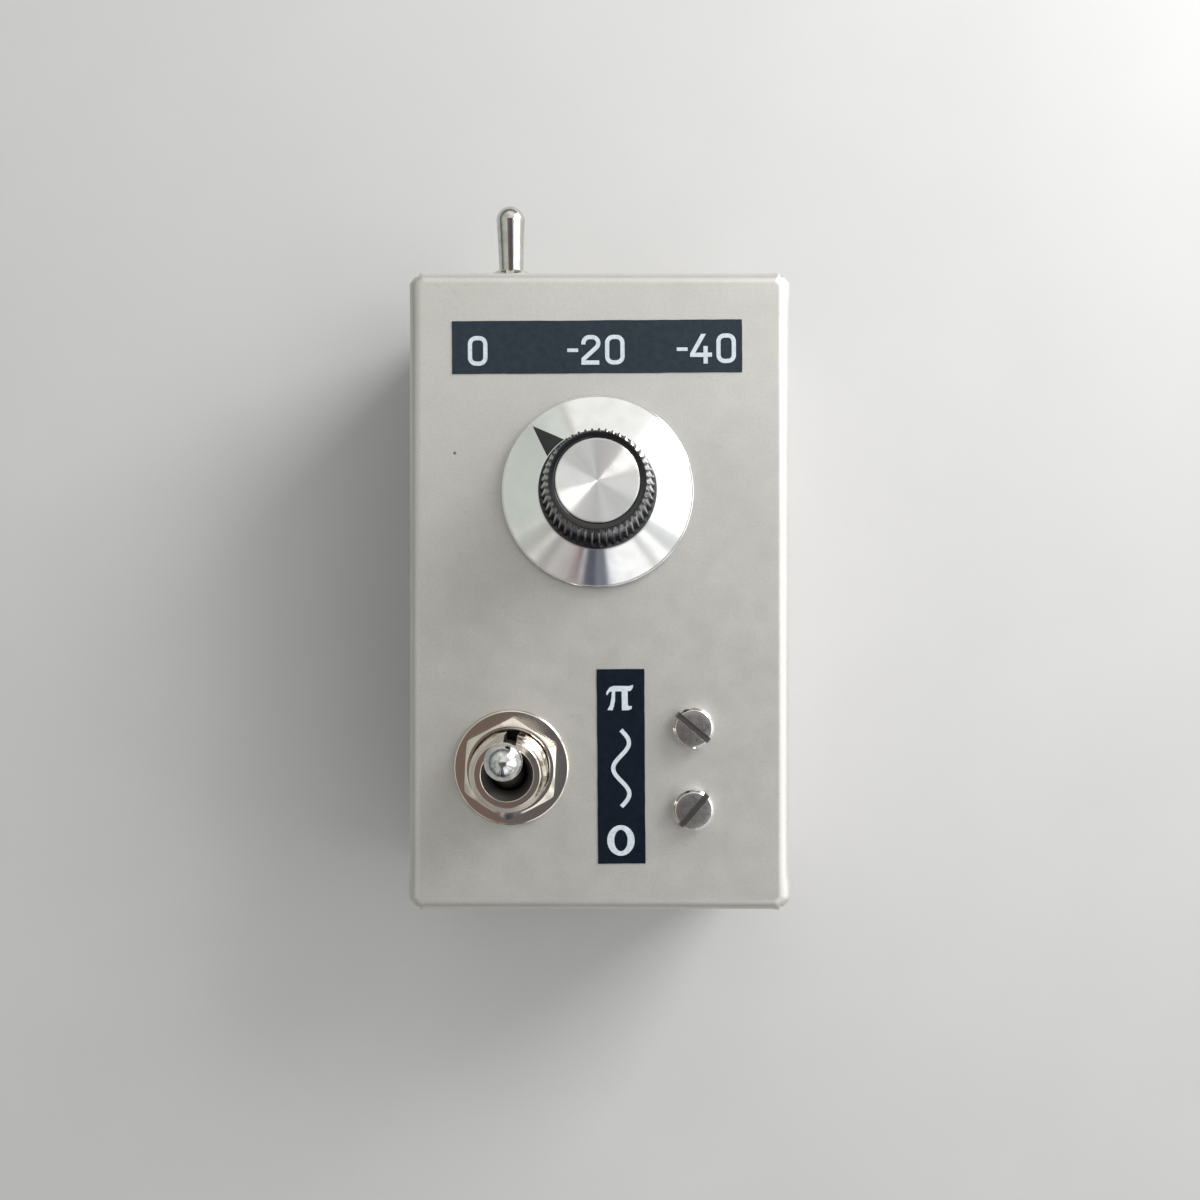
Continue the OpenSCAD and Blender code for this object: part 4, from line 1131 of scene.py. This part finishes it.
def build_end_toggle():
    pivot = end_pivot / MM - CASE_L / 2
    top = height_of("end_bushing", END)
    bushing = toggle_bushing(3.93, top, pivot, mouth=3.05, neck=2.0, seat=2.45, flange=4.15,
                             slot_w=1.3, scale=0.67)
    # Painted shade in the bushing: its bore wall is painted grey, and its throat dark with grease and painted
    # shade.
    nickel_mouth = metal("end_bushing_nickel", *NICKEL,
                         over=[(inside_bore(2.99), BORE_SHADE, 0.4),
                               (inside_bore(2.0, 0.8), GREASE_AND_SHADE, 0.4)])
    piece("end_bushing_threaded", bushing, END, "end_bushing", finish=nickel_mouth)
    nut = hex_nut(across=9.95, bore=4.0, low=0.55, high=1.98, turn=math.radians(30))
    piece("end_nut_plated", nut, END, "end_nut")
    flat = washer(outer=6.18, bore=4.0, low=-END_BACK, high=0.53)
    piece("end_washer_plated", flat, END, "end_flat_washer")
    bat = toggle_lever(ball=2.29, shank=1.15, tip=2.43, end=14.78, tail=6.78, waist=2.05)
    # The ball and foot of the lever, down in the bushing, are painted dark: grease and painted shade.
    chrome_bat = metal("end_bat_chrome", (0.64, 0.63, 0.60), 0.08, tint=(0.42, 0.40, 0.34),
                       wear=0.8, over=[(near_pivot(3.2), GREASE_AND_SHADE, 0.35)])
    place_bat("end", bat, END, pivot, chrome_bat)


def build_sockets():
    """The threaded barrels of the two plug sockets, with a nut and a washer round each."""
    bore, thread_r = 3.25, 4.7
    inside = [(bore, 2.75), (bore, -5.5), (5.7, -5.5), (5.7, -SHEET), (thread_r, -SHEET)]
    outside = [(4.68, 2.85), (4.55, 3.1), (4.4, 3.2), (3.85, 3.2), (3.65, 3.14)]
    nuts, rings = [], []
    for name, place, turn in (("input", INPUT, 12), ("output", OUTPUT, 41)):
        barrel = threaded(inside, outside, thread_r, -SHEET + 0.05, 2.75, 0.7, 0.26)
        piece(name + "_socket_barrel", barrel, place, name + "_socket_bushing")
        nut = hex_nut(across=12.65, bore=4.76, low=0.72, high=2.68, turn=math.radians(turn))
        nuts.append(moved(nut, place))
        rings.append(moved(washer(outer=6.98, bore=4.8, low=-END_BACK, high=0.7), place))
    piece("socket_nuts_plated", joined(*nuts), WORLD, "socket_nuts")
    piece("socket_washers_plated", joined(*rings), WORLD, "socket_washers")


def build_board_screws():
    """Two cheese-head screws with straight slots, worn shiny round their rims."""
    low_y, high_y = span("board_screws", 1)
    foot = span("board_screws", 2)[0] - FACE
    radius, top = SCREW_R, SCREW_TOP
    head = eased([(0, foot), (1.3, foot), (1.62, foot + 0.4), (1.62, -0.02), (radius - 0.1, 0.0),
                  (radius, 0.12), (radius, top - 0.47), (radius - 0.42, top - 0.05), (1.6, top),
                  (0, top + 0.05)], 0.07)
    slot = block((-5, -SCREW_SLOT, top - 1.1), (5, SCREW_SLOT, top + 2))
    blank = boolean(skin(*revolve(head, 128)), [slot])
    x = middle("board_screws").x
    for name, y, turn in (("near", low_y + radius, 49), ("far", high_y - radius, -40)):
        place = on_face(x, y * MM, math.radians(turn))
        piece("board_screw_" + name, blank.copy(), place, "board_screws", finish=SCREW_FINISH,
              bevel=0.06)


# ------------------------------------------------------------------ what stays as the CAD has it


def finish_carried():
    """Gives the CAD nodes that nothing replaces their materials."""
    for name, shown in frame["nodes"].items():
        if shown.hide_render:
            continue
        shown.data.materials.clear()
        shown.data.materials.append(MATERIALS[slot_of[name]])


# ------------------------------------------------------------------ studio


def build_camera():
    """Straight above the face and a little towards the near end, looking down."""
    above_face = 183 * MM
    lens = bpy.data.cameras.new("camera")
    lens.sensor_width = 36
    lens.lens = 35.0
    lens.shift_y = 0.0108
    lens.clip_start = 0.01
    camera = new_object("camera", lens)
    camera.location = (0.08 * MM, -3.45 * MM, FACE * MM + above_face)
    bpy.context.scene.camera = camera


def softbox(name, position, size, power, color):
    """A soft rectangular light, aimed at the box."""
    light = bpy.data.lights.new(name, "AREA")
    light.shape, light.size, light.size_y = "RECTANGLE", *size
    light.energy, light.color = power, color
    made = new_object(name, light)
    made.location = position
    to_box = Vector((0, 0, 0.02)) - Vector(position)
    made.rotation_euler = to_box.to_track_quat("-Z", "Y").to_euler()


# The room round the object: (direction in degrees from +X towards +Y, colour). A bright window
# wall at the right and the far end, a pale wall at the left, and someone in dark clothes at the
# near end, with furniture edges between them.
ROOM = (
    (-180, (0.82, 0.88, 0.81)),
    (-162, (0.84, 0.89, 0.82)),
    (-159, (1.00, 1.02, 0.97)),
    (-155, (0.72, 0.74, 0.69)),
    (-147, (0.66, 0.67, 0.63)),
    (-140, (1.10, 1.10, 1.05)),
    (-134, (0.52, 0.51, 0.48)),
    (-126, (0.80, 0.79, 0.76)),
    (-113, (0.66, 0.61, 0.60)),
    (-109, (0.42, 0.31, 0.31)),
    (-106, (0.18, 0.11, 0.12)),
    (-104, (0.82, 0.81, 0.83)),
    (-102, (0.74, 0.74, 0.78)),
    (-100, (0.09, 0.10, 0.14)),
    (-92, (0.13, 0.14, 0.18)),
    (-90, (0.34, 0.35, 0.42)),
    (-83, (0.12, 0.13, 0.18)),
    (-81, (1.40, 1.41, 1.46)),
    (-70, (1.70, 1.70, 1.70)),
    (-50, (1.70, 1.70, 1.68)),
    (-47, (0.90, 0.91, 0.90)),
    (-36, (2.20, 2.20, 2.16)),
    (-33, (1.00, 1.04, 1.02)),
    (-22, (1.20, 1.24, 1.22)),
    (-19, (2.80, 2.80, 2.76)),
    (20, (2.60, 2.60, 2.56)),
    (22, (0.72, 0.72, 0.71)),
    (25, (1.30, 1.30, 1.28)),
    (107, (1.10, 1.11, 1.06)),
    (110, (0.58, 0.55, 0.48)),
    (114, (0.72, 0.77, 0.71)),
)
CEILING = (1.28, 1.27, 1.25)
PHONE = (0.17, 0.18, 0.20)
HAND = (0.28, 0.20, 0.175)


def overhead(tree, way):
    """What is straight above: a pale ceiling, and a phone in a hand over the near half."""
    beyond = remap(tree, way["Y"], 0.04, 0.21)
    beside = remap(tree, calculate(tree, "ABSOLUTE", way["X"]), 0.34, 0.52)
    holder = mix(tree, remap(tree, way["X"], -0.10, -0.05), HAND, PHONE)
    return mix(tree, calculate(tree, "MAXIMUM", beyond, beside), holder, CEILING)


def walls(tree, way):
    """The colour of the room at each direction round the box."""
    angle = calculate(tree, "ARCTAN2", way["Y"], way["X"])
    made = node(tree, "ShaderNodeValToRGB", {"Fac": remap(tree, angle, -math.pi, math.pi)})
    stops = made.color_ramp.elements
    for degrees, color in ROOM[1:]:
        stops.new((degrees + 180) / 360).color = (*color, 1)
    for stop in (stops[0], stops[-1]):
        stop.color = (*ROOM[0][1], 1)
    return made.outputs["Color"]


def build_world():
    world = bpy.data.worlds.new("room")
    bpy.context.scene.world = world
    world.use_nodes = True
    tree = world.node_tree
    coords = node(tree, "ShaderNodeTexCoord").outputs["Generated"]
    way = node(tree, "ShaderNodeSeparateXYZ", {"Vector": coords}).outputs
    # the window reaches the floor, and furniture darkens the foot of the other walls
    above = remap(tree, way["Z"], 0.12, 0.55, 0.25, 1.0)
    lit = calculate(tree, "MAXIMUM", above, remap(tree, way["X"], 0.35, 0.8))
    room = mix(tree, lit, (0.0, 0.0, 0.0), walls(tree, way))
    background = tree.nodes["Background"].inputs
    tree.links.new(mix(tree, remap(tree, way["Z"], 0.86, 0.94), room, overhead(tree, way)),
                   background["Color"])
    background["Strength"].default_value = 0.74


def build_studio():
    """A plain pale floor that reaches the horizon, and two soft lights."""
    reach = 9000
    floor = skin([(sx * reach, sy * reach, 0) for sx, sy in CORNERS], [(0, 1, 2, 3)])
    made = new_object("floor", floor)
    paper, tree, shader = new_material("floor_paper", (0.52, 0.52, 0.52), roughness=0.8)
    tone = mix(tree, grain(tree, 30, 3), (0.50, 0.50, 0.505), (0.54, 0.54, 0.54))
    wire_up(tree, shader, base_color=tone)
    floor.materials.append(paper)
    softbox("window", (0.33, 0.28, 0.20), (0.22, 0.34), 2.7, (1.0, 0.99, 0.98))
    softbox("far_light", (0.05, 0.48, 0.40), (0.8, 0.35), 0.2, (1.0, 1.0, 0.99))


build_camera()
build_case()
build_cover()
build_labels()
build_knob()
build_phase_toggle()
build_end_toggle()
build_sockets()
build_board_screws()
finish_carried()
build_studio()
build_world()
bpy.context.scene.view_settings.view_transform = "Standard"
